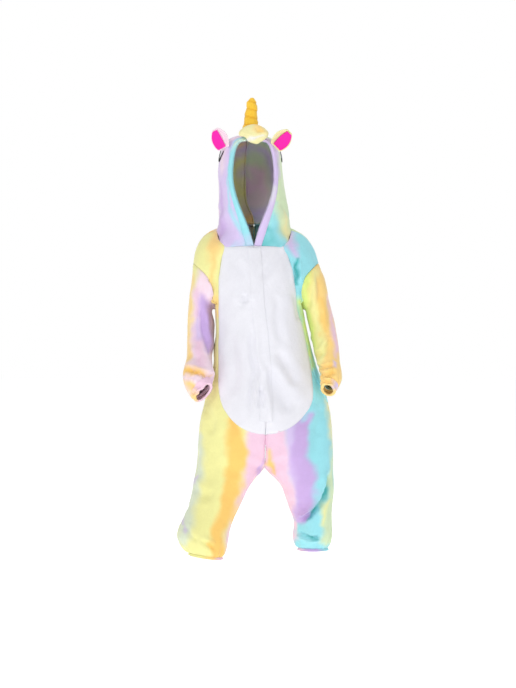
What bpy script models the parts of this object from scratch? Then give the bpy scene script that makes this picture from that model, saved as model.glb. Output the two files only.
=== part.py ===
"""Unicorn onesie for a child of about six, hollow, in its worn form.

Metres, +Z up, the front faces -Y. The origin is the centre of the neck at the height of the shoulders.
Side -1 is the wearer's right (-X) and side +1 is the wearer's left (+X).
Every cloth piece is a grid of points on the garment's outer face. The grids of neighbouring pieces share
the points of their seam, so one set of normals gives every wall its thickness, inwards.
"""

import math
from types import SimpleNamespace

import bmesh
import bpy
import numpy as np
from mathutils import Vector

WALL = 0.0028
SEAM_PULL = 0.00024
ARMHOLE_PULL = 0.0010
UNDERARM_Y = -0.040
UNDERARM_Z = -0.150
KEY_STEPS = 20000
SURFACE_GAP = 0.0006
TRIM_WALL = 0.0016
SECTION_POWER = 2.2
SIDES = (("right", -1), ("left", 1))


class Table:
    """Rows of named columns, read smoothly along the first column."""

    def __init__(self, columns, rows):
        self.columns = columns.split()
        self.data = np.array(sorted(rows), float)
        self.keys = self.data[:, 0]
        self.slopes = np.gradient(self.data, self.keys, axis=0)

    def at(self, key):
        key = min(max(key, self.keys[0]), self.keys[-1])
        row = min(int(np.searchsorted(self.keys, key, side="right")) - 1, len(self.keys) - 2)
        span = self.keys[row + 1] - self.keys[row]
        t = (key - self.keys[row]) / span
        ease = t * t * (3 - 2 * t)
        values = self.data[row] * (1 - ease) + self.data[row + 1] * ease
        values = values + self.slopes[row] * span * t * (1 - t) ** 2
        values = values - self.slopes[row + 1] * span * t * t * (1 - t)
        return SimpleNamespace(**dict(zip(self.columns, values)))


# Body sections. mid is the leaning centre line and offset is how far each half's own section stands from it.
SECTION_COLUMNS = "z mid offset half front back centre_y"
TORSO = (
    (0.050, -0.002, 0.000, 0.112, 0.070, 0.062, 0.000),
    (-0.027, 0.000, 0.000, 0.124, 0.086, 0.080, 0.000),
    (-0.070, 0.004, 0.000, 0.121, 0.098, 0.092, 0.000),
    (-0.120, 0.007, 0.000, 0.119, 0.107, 0.102, 0.000),
    (-0.195, 0.012, 0.000, 0.118, 0.112, 0.108, 0.000),
    (-0.250, 0.019, 0.000, 0.123, 0.114, 0.108, 0.000),
    (-0.302, 0.024, 0.000, 0.131, 0.116, 0.109, 0.000),
    (-0.355, 0.029, 0.000, 0.142, 0.118, 0.112, 0.000),
    (-0.395, 0.031, 0.000, 0.154, 0.120, 0.117, 0.000),
    (-0.435, 0.033, 0.001, 0.163, 0.122, 0.122, 0.000),
    (-0.472, 0.032, 0.006, 0.166, 0.121, 0.126, -0.001),
    (-0.514, 0.0305, 0.022, 0.156, 0.117, 0.126, -0.002),
    (-0.567, 0.030, 0.056, 0.1255, 0.107, 0.118, -0.004),
    (-0.600, 0.029, 0.080, 0.1035, 0.099, 0.108, -0.005),
    (-0.620, 0.028, 0.0925, 0.0922, 0.094, 0.102, -0.006),
)
LEG = {
    -1: (
        (-0.641, 0.028, 0.1070, 0.0820, 0.090, 0.096, -0.009),
        (-0.684, 0.028, 0.1210, 0.0740, 0.082, 0.086, -0.018),
        (-0.726, 0.028, 0.1380, 0.0680, 0.076, 0.079, -0.029),
        (-0.768, 0.028, 0.1580, 0.0690, 0.073, 0.074, -0.040),
        (-0.806, 0.028, 0.1660, 0.0690, 0.072, 0.073, -0.047),
        (-0.826, 0.028, 0.1630, 0.0600, 0.062, 0.063, -0.049),
        (-0.841, 0.028, 0.1560, 0.0450, 0.047, 0.047, -0.050),
    ),
    1: (
        (-0.641, 0.028, 0.1060, 0.0810, 0.088, 0.095, -0.003),
        (-0.684, 0.028, 0.1177, 0.0690, 0.079, 0.084, 0.006),
        (-0.726, 0.028, 0.1240, 0.0580, 0.071, 0.075, 0.018),
        (-0.768, 0.028, 0.1300, 0.0520, 0.066, 0.068, 0.028),
        (-0.803, 0.028, 0.1285, 0.0540, 0.065, 0.066, 0.034),
        (-0.822, 0.028, 0.1290, 0.0500, 0.056, 0.057, 0.036),
        (-0.836, 0.028, 0.1310, 0.0410, 0.044, 0.044, 0.037),
    ),
}
SECTIONS = {side: Table(SECTION_COLUMNS, TORSO + LEG[side]) for _, side in SIDES}
CROTCH_Z = -0.620
ARMPIT_Z = -0.195
HEM_Z = {-1: -0.841, 1: -0.836}
LEG_ROWS_RISE = (0.0, 0.013, 0.033, 0.064, 0.100, 0.138, 0.174)
LEG_ROWS = len(LEG_ROWS_RISE)

# The white belly piece: half its width from the centre line, up its edge. The first five rows are its round foot.
BELLY = (
    (0.000, -0.525),
    (0.032, -0.520),
    (0.063, -0.507),
    (0.091, -0.485),
    (0.113, -0.456),
    (0.122, -0.435),
    (0.1255, -0.411),
    (0.1255, -0.384),
    (0.1245, -0.357),
    (0.1225, -0.330),
    (0.1195, -0.303),
    (0.1170, -0.276),
    (0.1140, -0.249),
    (0.1110, -0.222),
    (0.1080, -0.195),
    (0.1060, -0.167),
    (0.1030, -0.139),
    (0.1000, -0.111),
    (0.0950, -0.083),
    (0.0880, -0.055),
)
BELLY_COLUMNS = 4
BELLY_ROWS_TO_ARMPIT = 10
# The belly's rows start lower on the centre line than at the edge, by less in each row up to this one.
BELLY_DIP = 0.069
BELLY_DIP_ROWS = 9

# Neck seam, shared by body and hood, from the centre front (0) to the nape (1).
NECK = Table(
    "along half y z",
    (
        (0.00, 0.000, -0.0860, -0.027),
        (0.15, 0.040, -0.0835, -0.0275),
        (0.30, 0.079, -0.0700, -0.026),
        (0.40, 0.094, -0.0430, -0.008),
        (0.50, 0.100, -0.0050, 0.020),
        (0.65, 0.089, 0.0360, 0.031),
        (0.82, 0.052, 0.0610, 0.035),
        (1.00, 0.000, 0.0670, 0.036),
    ),
)
NECK_CORNER = 0.30
NECK_SHOULDER = 0.50
NECK_STEPS_FRONT = 2
NECK_STEPS_BACK = 4

# Armhole, from the shoulder tip (0) to the armpit (180). half is counted from the centre line.
ARMHOLE = Table(
    "turn half depth z",
    (
        (0, 0.1695, 0.000, -0.0690),
        (40, 0.1540, 0.040, -0.0830),
        (75, 0.1290, 0.059, -0.1100),
        (105, 0.1180, 0.060, -0.1370),
        (140, 0.1145, 0.041, -0.1650),
        (160, 0.1155, 0.024, -0.1790),
        (180, 0.1178, 0.000, -0.1950),
    ),
)
SHOULDER_PULL = (0.158, 0.009)
UPPER_ROWS_FRONT = 7
UPPER_ROWS_BACK = 8
FRONT_COLUMNS = 6
BACK_COLUMNS = 6

# Sleeve rings. lift turns a ring in the front view and pitch turns it forwards, both in degrees.
SLEEVE_COLUMNS = "ring half y z lift pitch across depth"
SLEEVE = {
    -1: (
        (1, 0.1480, 0.001, -0.1600, 56, 0, 0.0445, 0.0560),
        (2, 0.1457, 0.002, -0.1890, 40, 0, 0.0415, 0.0520),
        (3, 0.1460, 0.001, -0.2170, 22, 2, 0.0373, 0.0480),
        (4, 0.1465, -0.003, -0.2420, 11, 8, 0.0360, 0.0455),
        (5, 0.1475, -0.010, -0.2660, 4, 15, 0.0358, 0.0440),
        (6, 0.1488, -0.020, -0.2900, 0, 23, 0.0358, 0.0430),
        (7, 0.1497, -0.033, -0.3140, -4, 31, 0.0360, 0.0430),
        (8, 0.1510, -0.050, -0.3370, -9, 37, 0.0385, 0.0430),
        (9, 0.1530, -0.067, -0.3570, -12, 41, 0.0412, 0.0430),
        (10, 0.1510, -0.083, -0.3750, -17, 43, 0.0420, 0.0420),
        (11, 0.1460, -0.096, -0.3910, -25, 44, 0.0400, 0.0390),
        (12, 0.1420, -0.105, -0.4020, -33, 44, 0.0350, 0.0340),
    ),
    1: (
        (1, 0.1620, 0.000, -0.1585, 60, 0, 0.0460, 0.0570),
        (2, 0.1655, -0.001, -0.1875, 38, 0, 0.0363, 0.0520),
        (3, 0.1718, -0.004, -0.2105, 30, 3, 0.0360, 0.0480),
        (4, 0.1765, -0.009, -0.2335, 22, 9, 0.0355, 0.0450),
        (5, 0.1808, -0.017, -0.2575, 17, 15, 0.0353, 0.0430),
        (6, 0.1852, -0.027, -0.283, 13, 21, 0.0352, 0.0420),
        (7, 0.1883, -0.038, -0.3075, 9, 27, 0.0347, 0.0410),
        (8, 0.1913, -0.050, -0.330, 3, 32, 0.0323, 0.0400),
        (9, 0.1948, -0.062, -0.350, -3, 36, 0.0310, 0.0390),
        (10, 0.1980, -0.073, -0.3675, -10, 38, 0.0300, 0.0370),
        (11, 0.1965, -0.082, -0.383, -12, 39, 0.0275, 0.0340),
        (12, 0.1935, -0.088, -0.394, -12, 40, 0.0245, 0.0310),
    ),
}
SLEEVES = {side: Table(SLEEVE_COLUMNS, SLEEVE[side]) for _, side in SIDES}
SLEEVE_RINGS = 12
SLEEVE_MID = 0.005

# Hood rows, from the neck (0) to the forehead (1): the face edge, the widest reach, how much further the left half
# reaches than the right, and the centre seam.
HOOD = Table(
    "along edge_x edge_y edge_z wide lean seam_y seam_z",
    (
        (0.00, 0.0000, -0.086, -0.027, 0.122, 0.000, 0.067, 0.036),
        (0.10, 0.0130, -0.093, 0.008, 0.129, 0.004, 0.080, 0.058),
        (0.20, 0.0270, -0.098, 0.042, 0.126, 0.010, 0.095, 0.081),
        (0.31, 0.0430, -0.100, 0.079, 0.118, 0.011, 0.110, 0.110),
        (0.43, 0.0560, -0.099, 0.118, 0.109, 0.006, 0.120, 0.146),
        (0.55, 0.0610, -0.097, 0.157, 0.106, 0.001, 0.123, 0.182),
        (0.67, 0.0590, -0.096, 0.193, 0.101, 0.000, 0.112, 0.218),
        (0.78, 0.0540, -0.096, 0.222, 0.093, 0.000, 0.085, 0.250),
        (0.88, 0.0430, -0.096, 0.246, 0.080, 0.000, 0.043, 0.271),
        (0.95, 0.0320, -0.096, 0.254, 0.056, 0.000, -0.025, 0.277),
        (1.00, 0.0220, -0.096, 0.257, 0.012, 0.000, -0.0965, 0.262),
    ),
)
HOOD_ROWS = 12
HOOD_ROW_POWER = 0.9
HOOD_EDGE_STEP = 0.55
HOOD_YAW = math.radians(6)
HOOD_SHIFT = -0.011

# The largest folds, on the front or the back of the body: from x and z, to x and z, width and depth.
FOLDS = (
    ("front", 0.027, -0.535, 0.028, -0.620, 0.030, 0.010),
    ("front", 0.196, -0.641, 0.119, -0.763, 0.030, 0.012),
    ("front", -0.060, -0.640, -0.120, -0.740, 0.035, 0.007),
    ("front", 0.085, -0.420, 0.100, -0.350, 0.045, 0.006),
    ("front", 0.018, -0.400, 0.012, -0.300, 0.035, 0.004),
    ("front", -0.120, -0.520, -0.105, -0.620, 0.040, 0.006),
    ("front", 0.150, -0.500, 0.165, -0.600, 0.040, 0.006),
    ("back", 0.028, -0.530, 0.028, -0.620, 0.034, 0.012),
    ("back", -0.050, -0.300, 0.060, -0.320, 0.045, 0.007),
    ("back", -0.060, -0.600, -0.130, -0.720, 0.035, 0.009),
    ("back", 0.110, -0.600, 0.180, -0.700, 0.035, 0.009),
)


def lerp(a, b, t):
    return a + (b - a) * t


def soft_step(t):
    t = min(max(t, 0.0), 1.0)
    return t * t * (3 - 2 * t)


def folded(point, centre_y):
    """The point, moved in or out along Y by the folds near it."""
    x, y, z = point
    for face, x0, z0, x1, z1, width, depth in FOLDS:
        facing = -1 if face == "front" else 1
        if (y - centre_y) * facing <= 0:
            continue
        run_x, run_z = x1 - x0, z1 - z0
        t = ((x - x0) * run_x + (z - z0) * run_z) / (run_x**2 + run_z**2)
        t = min(max(t, 0.0), 1.0)
        away = math.hypot(x - x0 - run_x * t, z - z0 - run_z * t)
        full = soft_step(abs(y - centre_y) / 0.06)
        y -= facing * depth * full * math.exp(-((away / width) ** 2))
    return np.array((x, y, z))


def skin(side, turn, z):
    """A point of the body's outer face: turn is -90 at the front, 0 at the side seam and 90 at the back."""
    s = SECTIONS[side].at(z)
    angle = math.radians(turn)
    power = 2 / SECTION_POWER
    reach = math.copysign(abs(math.cos(angle)) ** power, math.cos(angle)) if abs(turn) != 90 else 0.0
    rise = math.copysign(abs(math.sin(angle)) ** power, math.sin(angle)) if turn else 0.0
    depth = s.front if turn < 0 else s.back
    point = (s.mid + side * (s.offset + s.half * reach), s.centre_y + depth * rise, z)
    return folded(point, s.centre_y)


def turn_at(side, half, z):
    """The turn, without its sign, at which the body is this far from its centre line."""
    s = SECTIONS[side].at(z)
    reach = min(max((half - s.offset) / s.half, -1.0), 1.0)
    cosine = math.copysign(abs(reach) ** (SECTION_POWER / 2), reach)
    return math.degrees(math.acos(cosine))


def inner_turn(side, z):
    """The turn of the centre seam, or of the inseam below the crotch."""
    return turn_at(side, 0.0, z) if z > CROTCH_Z else 180.0


def skin_row(side, start, end, count):
    """Points on the body between two (turn, z) places."""
    return [skin(side, lerp(start[0], end[0], k / count), lerp(start[1], end[1], k / count)) for k in range(count + 1)]


def neck(side, along):
    n = NECK.at(along)
    return np.array((side * n.half, n.y, n.z))


def armhole(side, turn, facing):
    """A point of the armhole, on its front (-1) or back (1)."""
    if turn == 180:
        return skin(side, 0, ARMPIT_Z)
    a = ARMHOLE.at(turn)
    mid = SECTIONS[side].at(a.z).mid if turn else SLEEVE_MID
    return np.array((mid + side * a.half, facing * a.depth, a.z))


def shoulder_seam(side, count):
    """Points from the neck to the shoulder tip, over the shoulder's round."""
    start = neck(side, NECK_SHOULDER)
    end = armhole(side, 0, 1)
    pull = np.array((side * SHOULDER_PULL[0], 0.0, SHOULDER_PULL[1]))
    steps = [k / count for k in range(count + 1)]
    return [start * (1 - t) ** 2 + pull * 2 * t * (1 - t) + end * t * t for t in steps]


def coons(bottom, top, left, right):
    """Rows between four edges that meet at their corners, from the bottom edge to the top one."""
    rows = []
    for i, (low, high) in enumerate(zip(left, right)):
        v = i / (len(left) - 1)
        row = []
        for j, (under, over) in enumerate(zip(bottom, top)):
            u = j / (len(bottom) - 1)
            corners = lerp(lerp(bottom[0], bottom[-1], u), lerp(top[0], top[-1], u), v)
            row.append(lerp(under, over, v) + lerp(low, high, u) - corners)
        rows.append(row)
    return rows


def belly_edge(side):
    """The belly's outline, from the bottom of the centre line to the corner at the neck."""
    points = [skin(side, -turn_at(side, half, z), z) for half, z in BELLY]
    return points + [neck(side, NECK_CORNER)]


def belly_grid(side):
    """Rows from the centre line to the outline. The first row is the round foot."""
    edge = belly_edge(side)
    last = len(BELLY) - BELLY_COLUMNS
    rows = [edge[: BELLY_COLUMNS + 1]]
    for i in range(1, last):
        half, z = BELLY[BELLY_COLUMNS + i]
        centre_z = z - BELLY_DIP * max(0.0, 1 - i / BELLY_DIP_ROWS) ** 2
        row = []
        for k in range(BELLY_COLUMNS + 1):
            t = k / BELLY_COLUMNS
            at_z = lerp(centre_z, z, t * t)
            row.append(skin(side, -turn_at(side, half * t, at_z), at_z))
        row[-1] = edge[BELLY_COLUMNS + i]
        rows.append(row)
    steps = [NECK_CORNER * k / BELLY_COLUMNS for k in range(BELLY_COLUMNS + 1)]
    rows.append([neck(side, along) for along in steps])
    return rows


def side_heights(side):
    """Heights of the row ends on the side seam, from the hem to the armpit."""
    leg = [HEM_Z[side] + rise for rise in LEG_ROWS_RISE] + [CROTCH_Z]
    seat = [-0.603, -0.577, -0.549, -0.520]
    foot = [-0.499, -0.480, -0.462, -0.446]
    flank = [-0.430] + [z for _, z in BELLY[6 : BELLY_COLUMNS + BELLY_ROWS_TO_ARMPIT + 1]]
    return leg + seat + foot + flank


SEAT_FRONT_Z = (-0.609, -0.590, -0.560)
SEAT_BACK_Z = (-0.609, -0.588, -0.558, -0.525)


def front_grid(side):
    """Rows from the inseam, the centre seam, the belly's outline and the neck to the side seam and armhole."""
    heights = side_heights(side)
    starts = [(-180.0, z) for z in heights[: LEG_ROWS + 1]]
    starts += [(-inner_turn(side, z), z) for z in SEAT_FRONT_Z]
    starts += [(-turn_at(side, half, z), z) for half, z in BELLY[: BELLY_COLUMNS + BELLY_ROWS_TO_ARMPIT + 1]]
    rows = [skin_row(side, start, (0.0, z), FRONT_COLUMNS) for start, z in zip(starts, heights)]
    chest = belly_edge(side)[BELLY_COLUMNS + BELLY_ROWS_TO_ARMPIT :]
    steps = range(1, NECK_STEPS_FRONT + 1)
    chest += [neck(side, lerp(NECK_CORNER, NECK_SHOULDER, k / NECK_STEPS_FRONT)) for k in steps]
    turns = [180 * (1 - k / (len(chest) - 1)) for k in range(len(chest))]
    hole = [armhole(side, turn, -1) for turn in turns]
    return rows[:-1] + coons(rows[-1], shoulder_seam(side, FRONT_COLUMNS), chest, hole)


def back_grid(side):
    """Rows from the inseam, the centre back and the neck to the side seam and armhole."""
    heights = side_heights(side)
    starts = [(180.0, z) for z in heights[: LEG_ROWS + 1]]
    centre = list(SEAT_BACK_Z)
    left = len(heights) - LEG_ROWS - 1 - len(centre)
    centre += [lerp(SEAT_BACK_Z[-1], ARMPIT_Z, k / left) for k in range(1, left + 1)]
    starts += [(inner_turn(side, z), z) for z in centre]
    rows = [skin_row(side, start, (0.0, z), BACK_COLUMNS) for start, z in zip(starts, heights)]
    nape_steps = UPPER_ROWS_BACK - NECK_STEPS_BACK
    nape = neck(side, 1.0)
    inner = [skin(side, 90.0, lerp(ARMPIT_Z, nape[2], k / nape_steps)) for k in range(nape_steps)]
    inner += [neck(side, lerp(1.0, NECK_SHOULDER, k / NECK_STEPS_BACK)) for k in range(NECK_STEPS_BACK + 1)]
    turns = [180 * (1 - k / (len(inner) - 1)) for k in range(len(inner))]
    hole = [armhole(side, turn, 1) for turn in turns]
    return rows[:-1] + coons(rows[-1], shoulder_seam(side, BACK_COLUMNS), inner, hole)


def sleeve_ring(side, ring, turns):
    """One ring of the sleeve at the given turns: 0 outermost, -90 in front, 90 behind."""
    s = SLEEVES[side].at(ring)
    lift, pitch = math.radians(s.lift), math.radians(s.pitch)
    across = np.array((side * math.cos(lift), 0.0, math.sin(lift)))
    ahead = np.array((0.0, -math.cos(pitch), math.sin(pitch)))
    centre = np.array((SLEEVE_MID + side * s.half, s.y, s.z))
    points = []
    for turn in turns:
        angle = math.radians(turn)
        points.append(centre + across * s.across * math.cos(angle) - ahead * s.depth * math.sin(angle))
    return points


def sleeve_turns():
    """Turns of the armhole's shared points, from the armpit by the front to the tip and down the back."""
    front_steps = len(BELLY) - BELLY_COLUMNS - BELLY_ROWS_TO_ARMPIT + NECK_STEPS_FRONT
    front = [-180 * (1 - k / front_steps) for k in range(front_steps + 1)]
    back = [180 * k / UPPER_ROWS_BACK for k in range(1, UPPER_ROWS_BACK)]
    return front + back


def sleeve_grid(side):
    turns = sleeve_turns()
    first = [armhole(side, abs(turn), -1 if turn < 0 else 1) for turn in turns]
    return [first] + [sleeve_ring(side, ring, turns) for ring in range(1, SLEEVE_RINGS + 1)]


def hood_turned(point, along):
    """The hood turns with the head, fully from a third of the way up."""
    full = soft_step(along / 0.33)
    angle = HOOD_YAW * full
    x, y, z = point
    turned_x = x * math.cos(angle) - y * math.sin(angle)
    turned_y = x * math.sin(angle) + y * math.cos(angle)
    return np.array((turned_x + HOOD_SHIFT * full, turned_y, z))


def hood_point(side, along, across):
    """A point of the hood: across is 0 at the face edge and 1 at the centre seam."""
    h = HOOD.at(along)
    face = np.array((side * h.edge_x, h.edge_y, h.edge_z))
    seam = np.array((0.0, h.seam_y, h.seam_z))
    side_y = lerp(h.edge_y, h.seam_y, 0.22)
    wide = side * h.wide + h.lean
    near = np.array((wide, side_y, lerp(h.edge_z, h.seam_z, 0.12)))
    far = np.array((wide * 0.92, h.seam_y, h.seam_z))
    t = across
    curve = face * (1 - t) ** 3 + near * 3 * t * (1 - t) ** 2 + far * 3 * t * t * (1 - t) + seam * t**3
    return hood_turned(curve, along)


def neck_steps():
    belly = [NECK_CORNER * k / BELLY_COLUMNS for k in range(BELLY_COLUMNS)]
    front = [lerp(NECK_CORNER, NECK_SHOULDER, k / NECK_STEPS_FRONT) for k in range(NECK_STEPS_FRONT)]
    back = [lerp(NECK_SHOULDER, 1.0, k / NECK_STEPS_BACK) for k in range(NECK_STEPS_BACK + 1)]
    return belly + front + back


def soft_across(t):
    """Columns stand closer together at the face edge."""
    return t * (HOOD_EDGE_STEP + (1 - HOOD_EDGE_STEP) * t)


def hood_grid(side):
    """Rows from the neck to the forehead. The second column is the inner edge of the face band."""
    steps = neck_steps()
    across = [soft_across(k / (len(steps) - 1)) for k in range(len(steps))]
    rows = [[neck(side, step) for step in steps]]
    for i in range(1, HOOD_ROWS + 1):
        along = (i / HOOD_ROWS) ** HOOD_ROW_POWER
        rows.append([hood_point(side, along, t) for t in across])
    return rows


def body_core(side, z):
    s = SECTIONS[side].at(z)
    return np.array((s.mid + side * s.offset, s.centre_y, z))


def face_normals(grid, closed):
    """One vector for each cell, as long as the cell is large."""
    right = np.roll(grid, -1, axis=1) if closed else grid[:, 1:]
    left = grid if closed else grid[:, :-1]
    return np.cross(right[1:] - left[:-1], left[1:] - right[:-1])


def outward(panel):
    """The cells' unit normals, turned to point away from the panel's core line."""
    normals = face_normals(panel.grid, panel.closed)
    cells = panel.grid[:-1] if panel.closed else panel.grid[:-1, :-1]
    away = cells - np.array(panel.core)[:-1, None, :]
    units = normals / np.maximum(np.linalg.norm(normals, axis=-1, keepdims=True), 1e-12)
    return units if np.sum(normals * away) > 0 else -units


def seam_key(point):
    return tuple(int(round(value * KEY_STEPS)) for value in point)


def shared_normals(panels):
    """The normal at every point of the shell, which pieces that meet at a seam share."""
    sums = {}
    for panel in panels:
        normals = outward(panel)
        columns = panel.grid.shape[1]
        for i in range(normals.shape[0]):
            for j in range(normals.shape[1]):
                for row, column in ((i, j), (i + 1, j), (i, (j + 1) % columns), (i + 1, (j + 1) % columns)):
                    key = seam_key(panel.grid[row, column])
                    sums[key] = sums.get(key, np.zeros(3)) + normals[i, j]
    return {key: total / max(np.linalg.norm(total), 1e-12) for key, total in sums.items()}


def pulled(edge, inner, distance):
    """The edge's points, moved this far towards the points next to them."""
    step = inner - edge
    return edge + step * (distance / np.maximum(np.linalg.norm(step, axis=-1, keepdims=True), distance * 3))


def drawn_in(panel):
    """The panel's grid with its open edges pulled in, which leaves the seam's gap."""
    out = panel.grid.copy()
    out[0] = pulled(out[0], panel.grid[1], panel.first_pull)
    out[-1] = pulled(out[-1], panel.grid[-2], SEAM_PULL)
    if not panel.closed:
        out[:, 0] = pulled(out[:, 0], out[:, 1], SEAM_PULL)
        out[:, -1] = pulled(out[:, -1], out[:, -2], SEAM_PULL)
    return out


def material(name, colour, roughness):
    found = bpy.data.materials.get(name)
    if found:
        return found
    made = bpy.data.materials.new(name)
    made.use_nodes = True
    shader = made.node_tree.nodes["Principled BSDF"]
    shader.inputs["Base Color"].default_value = (*colour, 1.0)
    shader.inputs["Roughness"].default_value = roughness
    shader.inputs["Metallic"].default_value = 0.0
    return made


def placed(name, mesh_builder, finish):
    """Links a new object made from the bmesh, with its material."""
    bmesh.ops.recalc_face_normals(mesh_builder, faces=mesh_builder.faces)
    mesh = bpy.data.meshes.new(name)
    mesh_builder.to_mesh(mesh)
    mesh_builder.free()
    mesh.shade_smooth()
    mesh.set_sharp_from_angle(angle=math.radians(50))
    mesh.materials.append(finish)
    piece = bpy.data.objects.new(name, mesh)
    bpy.context.scene.collection.objects.link(piece)
    return piece


def grid_faces(builder, grid, closed):
    """Adds the grid as a sheet of quads and gives back its faces and its points, row by row."""
    points = [[builder.verts.new(point) for point in row] for row in grid]
    columns = len(points[0])
    faces = []
    for low, high in zip(points[:-1], points[1:]):
        for j in range(columns if closed else columns - 1):
            k = (j + 1) % columns
            faces.append(builder.faces.new((low[j], low[k], high[k], high[j])))
    return faces, points


def cloth(name, grid, normals, finish, wall=WALL, closed=False):
    """A wall between the grid and its copy moved in along the normals."""
    builder = bmesh.new()
    layer = builder.verts.layers.int.new("place")
    faces, points = grid_faces(builder, grid, closed)
    inward = [Vector(normal) * -wall for row in normals for normal in row]
    for number, vertex in enumerate(vertex for row in points for vertex in row):
        vertex[layer] = number
    made = bmesh.ops.extrude_face_region(builder, geom=faces, use_keep_orig=True)
    for vertex in (item for item in made["geom"] if isinstance(item, bmesh.types.BMVert)):
        vertex.co += inward[vertex[layer]]
    return placed(name, builder, finish)


def shell_piece(name, panel, normals, finish):
    """A piece of the body's shell, with the shell's own normals."""
    own = np.array([[normals[seam_key(point)] for point in row] for row in panel.grid])
    return cloth(name, drawn_in(panel), own, finish, closed=panel.closed)


def panel_of(grid, core, closed=False, first_pull=SEAM_PULL):
    return SimpleNamespace(grid=np.array(grid), core=core, closed=closed, first_pull=first_pull)


def on_grid(grid, row, column):
    """A point on a panel, between its own points."""
    i, j = min(int(row), len(grid) - 2), min(int(column), len(grid[0]) - 2)
    v, u = row - i, column - j
    low = lerp(grid[i][j], grid[i][j + 1], u)
    return lerp(low, lerp(grid[i + 1][j], grid[i + 1][j + 1], u), v)


def lying_on(name, grid, normals, finish, gap=SURFACE_GAP):
    """A thin piece on a panel: its points moved out, with the wall between them and the panel."""
    return cloth(name, grid + normals * (gap + TRIM_WALL), normals, finish, wall=TRIM_WALL)


# Elastic casings: how far each row is from the hem, and how much it draws the hem in.
LEG_CUFF_ROWS = ((0.0, 1.0), (0.003, 0.86), (0.008, 0.84))
SLEEVE_CUFF_ROWS = ((0.0, 1.0), (0.006, 0.86), (0.015, 0.84))


def leg_cuff_grid(front, back):
    """The elastic casing round the ankle, from the hem's own points down."""
    ring = list(front[0]) + list(back[0][::-1])[1:-1]
    centre = sum(ring) / len(ring)
    rows = []
    for drop, shrink in LEG_CUFF_ROWS:
        rows.append([centre + (point - centre) * shrink - np.array((0.0, 0.0, drop)) for point in ring])
    return rows


def sleeve_cuff_grid(sleeve):
    """The elastic casing round the wrist, straight on from the sleeve."""
    ring = sleeve[-1]
    centre = sum(ring) / len(ring)
    before = sum(sleeve[-2]) / len(ring)
    ahead = (centre - before) / np.linalg.norm(centre - before)
    rows = []
    for run, shrink in SLEEVE_CUFF_ROWS:
        rows.append([centre + (point - centre) * shrink + ahead * run for point in ring])
    return rows


def build_shell(finishes):
    """Every piece of the garment's shell. It gives back the grids that the trims lie on."""
    panels = {}
    for word, side in SIDES:
        front, back = front_grid(side), back_grid(side)
        sleeve, hood, belly = sleeve_grid(side), hood_grid(side), belly_grid(side)
        body = [body_core(side, row[-1][2]) for row in front]
        panels[f"front_{word}"] = panel_of(front, body)
        panels[f"back_{word}"] = panel_of(back, [body_core(side, row[-1][2]) for row in back])
        panels[f"belly_{word}"] = panel_of(belly, [body_core(side, row[-1][2]) for row in belly])
        arm = [sum(ring) / len(ring) for ring in sleeve]
        panels[f"sleeve_{word}"] = panel_of(sleeve, arm, True, ARMHOLE_PULL)
        cuff = sleeve_cuff_grid(sleeve)
        panels[f"sleeve_cuff_{word}"] = panel_of(cuff, [sum(ring) / len(ring) for ring in cuff], True)
        ankle = leg_cuff_grid(front, back)
        panels[f"leg_cuff_{word}"] = panel_of(ankle, [sum(ring) / len(ring) for ring in ankle], True)
        middle = [np.array((HOOD_SHIFT, 0.0, row[0][2])) for row in hood]
        panels[f"hood_band_{word}"] = panel_of([row[:2] for row in hood], middle)
        panels[f"hood_{word}"] = panel_of([row[1:] for row in hood], middle)
    arms = {name: panel for name, panel in panels.items() if name.startswith("sleeve")}
    others = {name: panel for name, panel in panels.items() if name not in arms}
    whole = shared_normals(panels.values())
    body_normals = underarm_apart(whole, shared_normals(others.values()))
    arm_normals = underarm_apart(whole, shared_normals(arms.values()))
    for name, panel in panels.items():
        normals = arm_normals if name in arms else body_normals
        shell_piece(name, panel, normals, finishes[name.rsplit("_", 1)[0]])
    return panels, body_normals


def underarm_apart(whole, own):
    """Normals where the seam under and behind the arm, a deep crease, keeps those of its own side."""
    low = UNDERARM_Z * KEY_STEPS
    front = UNDERARM_Y * KEY_STEPS
    return {key: own[key] if key[1] > front and key[2] < low else whole[key] for key in own}


def normals_at(grid, normals, places):
    """Normals of the shell at places between the grid's points."""
    field = [[normals[seam_key(point)] for point in row] for row in grid]
    found = np.array([[on_grid(field, row, column) for row, column in line] for line in places])
    return found / np.linalg.norm(found, axis=-1, keepdims=True)


PLACKET_HALF = 0.017
PLACKET_ROWS = 16
POCKET_ROWS = (15.4, 18.9)
POCKET_COLUMNS = (4.7, 0.8)
POCKET_WIDTH = 0.45
POCKET_STEPS = 5
PLACKET_TOP_DROP = 0.15


def build_placket(panels, normals, finish):
    """The button strip down the middle of the belly, over the centre opening."""
    rows = []
    slopes = []
    last = len(panels["belly_left"].grid) - 1
    for i in range(last - PLACKET_ROWS + 1, last + 1):
        line, slope = [], []
        for word, part in (("right", 1), ("left", 0), ("left", 1)):
            grid = panels[f"belly_{word}"].grid
            cell = np.linalg.norm(grid[i][1] - grid[i][0])
            column = part * PLACKET_HALF / cell
            row = i - PLACKET_TOP_DROP if i == last else i
            line.append(on_grid(grid, row, column))
            slope.append(normals_at(grid, normals, [[(row, column)]])[0][0])
        rows.append(line)
        slopes.append(slope)
    lying_on("placket", np.array(rows), np.array(slopes), finish)


def build_pocket(word, panels, normals, finish):
    """The welt of the slanted pocket mouth at the side of the belly."""
    grid = panels[f"front_{word}"].grid
    places = []
    for k in range(POCKET_STEPS + 1):
        t = k / POCKET_STEPS
        row = lerp(POCKET_ROWS[0], POCKET_ROWS[1], t)
        column = lerp(POCKET_COLUMNS[0], POCKET_COLUMNS[1], t)
        places.append([(row, column), (row + POCKET_WIDTH, column)])
    points = np.array([[on_grid(grid, row, column) for row, column in line] for line in places])
    lying_on(f"pocket_welt_{word}", points, normals_at(grid, normals, places), finish)


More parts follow.
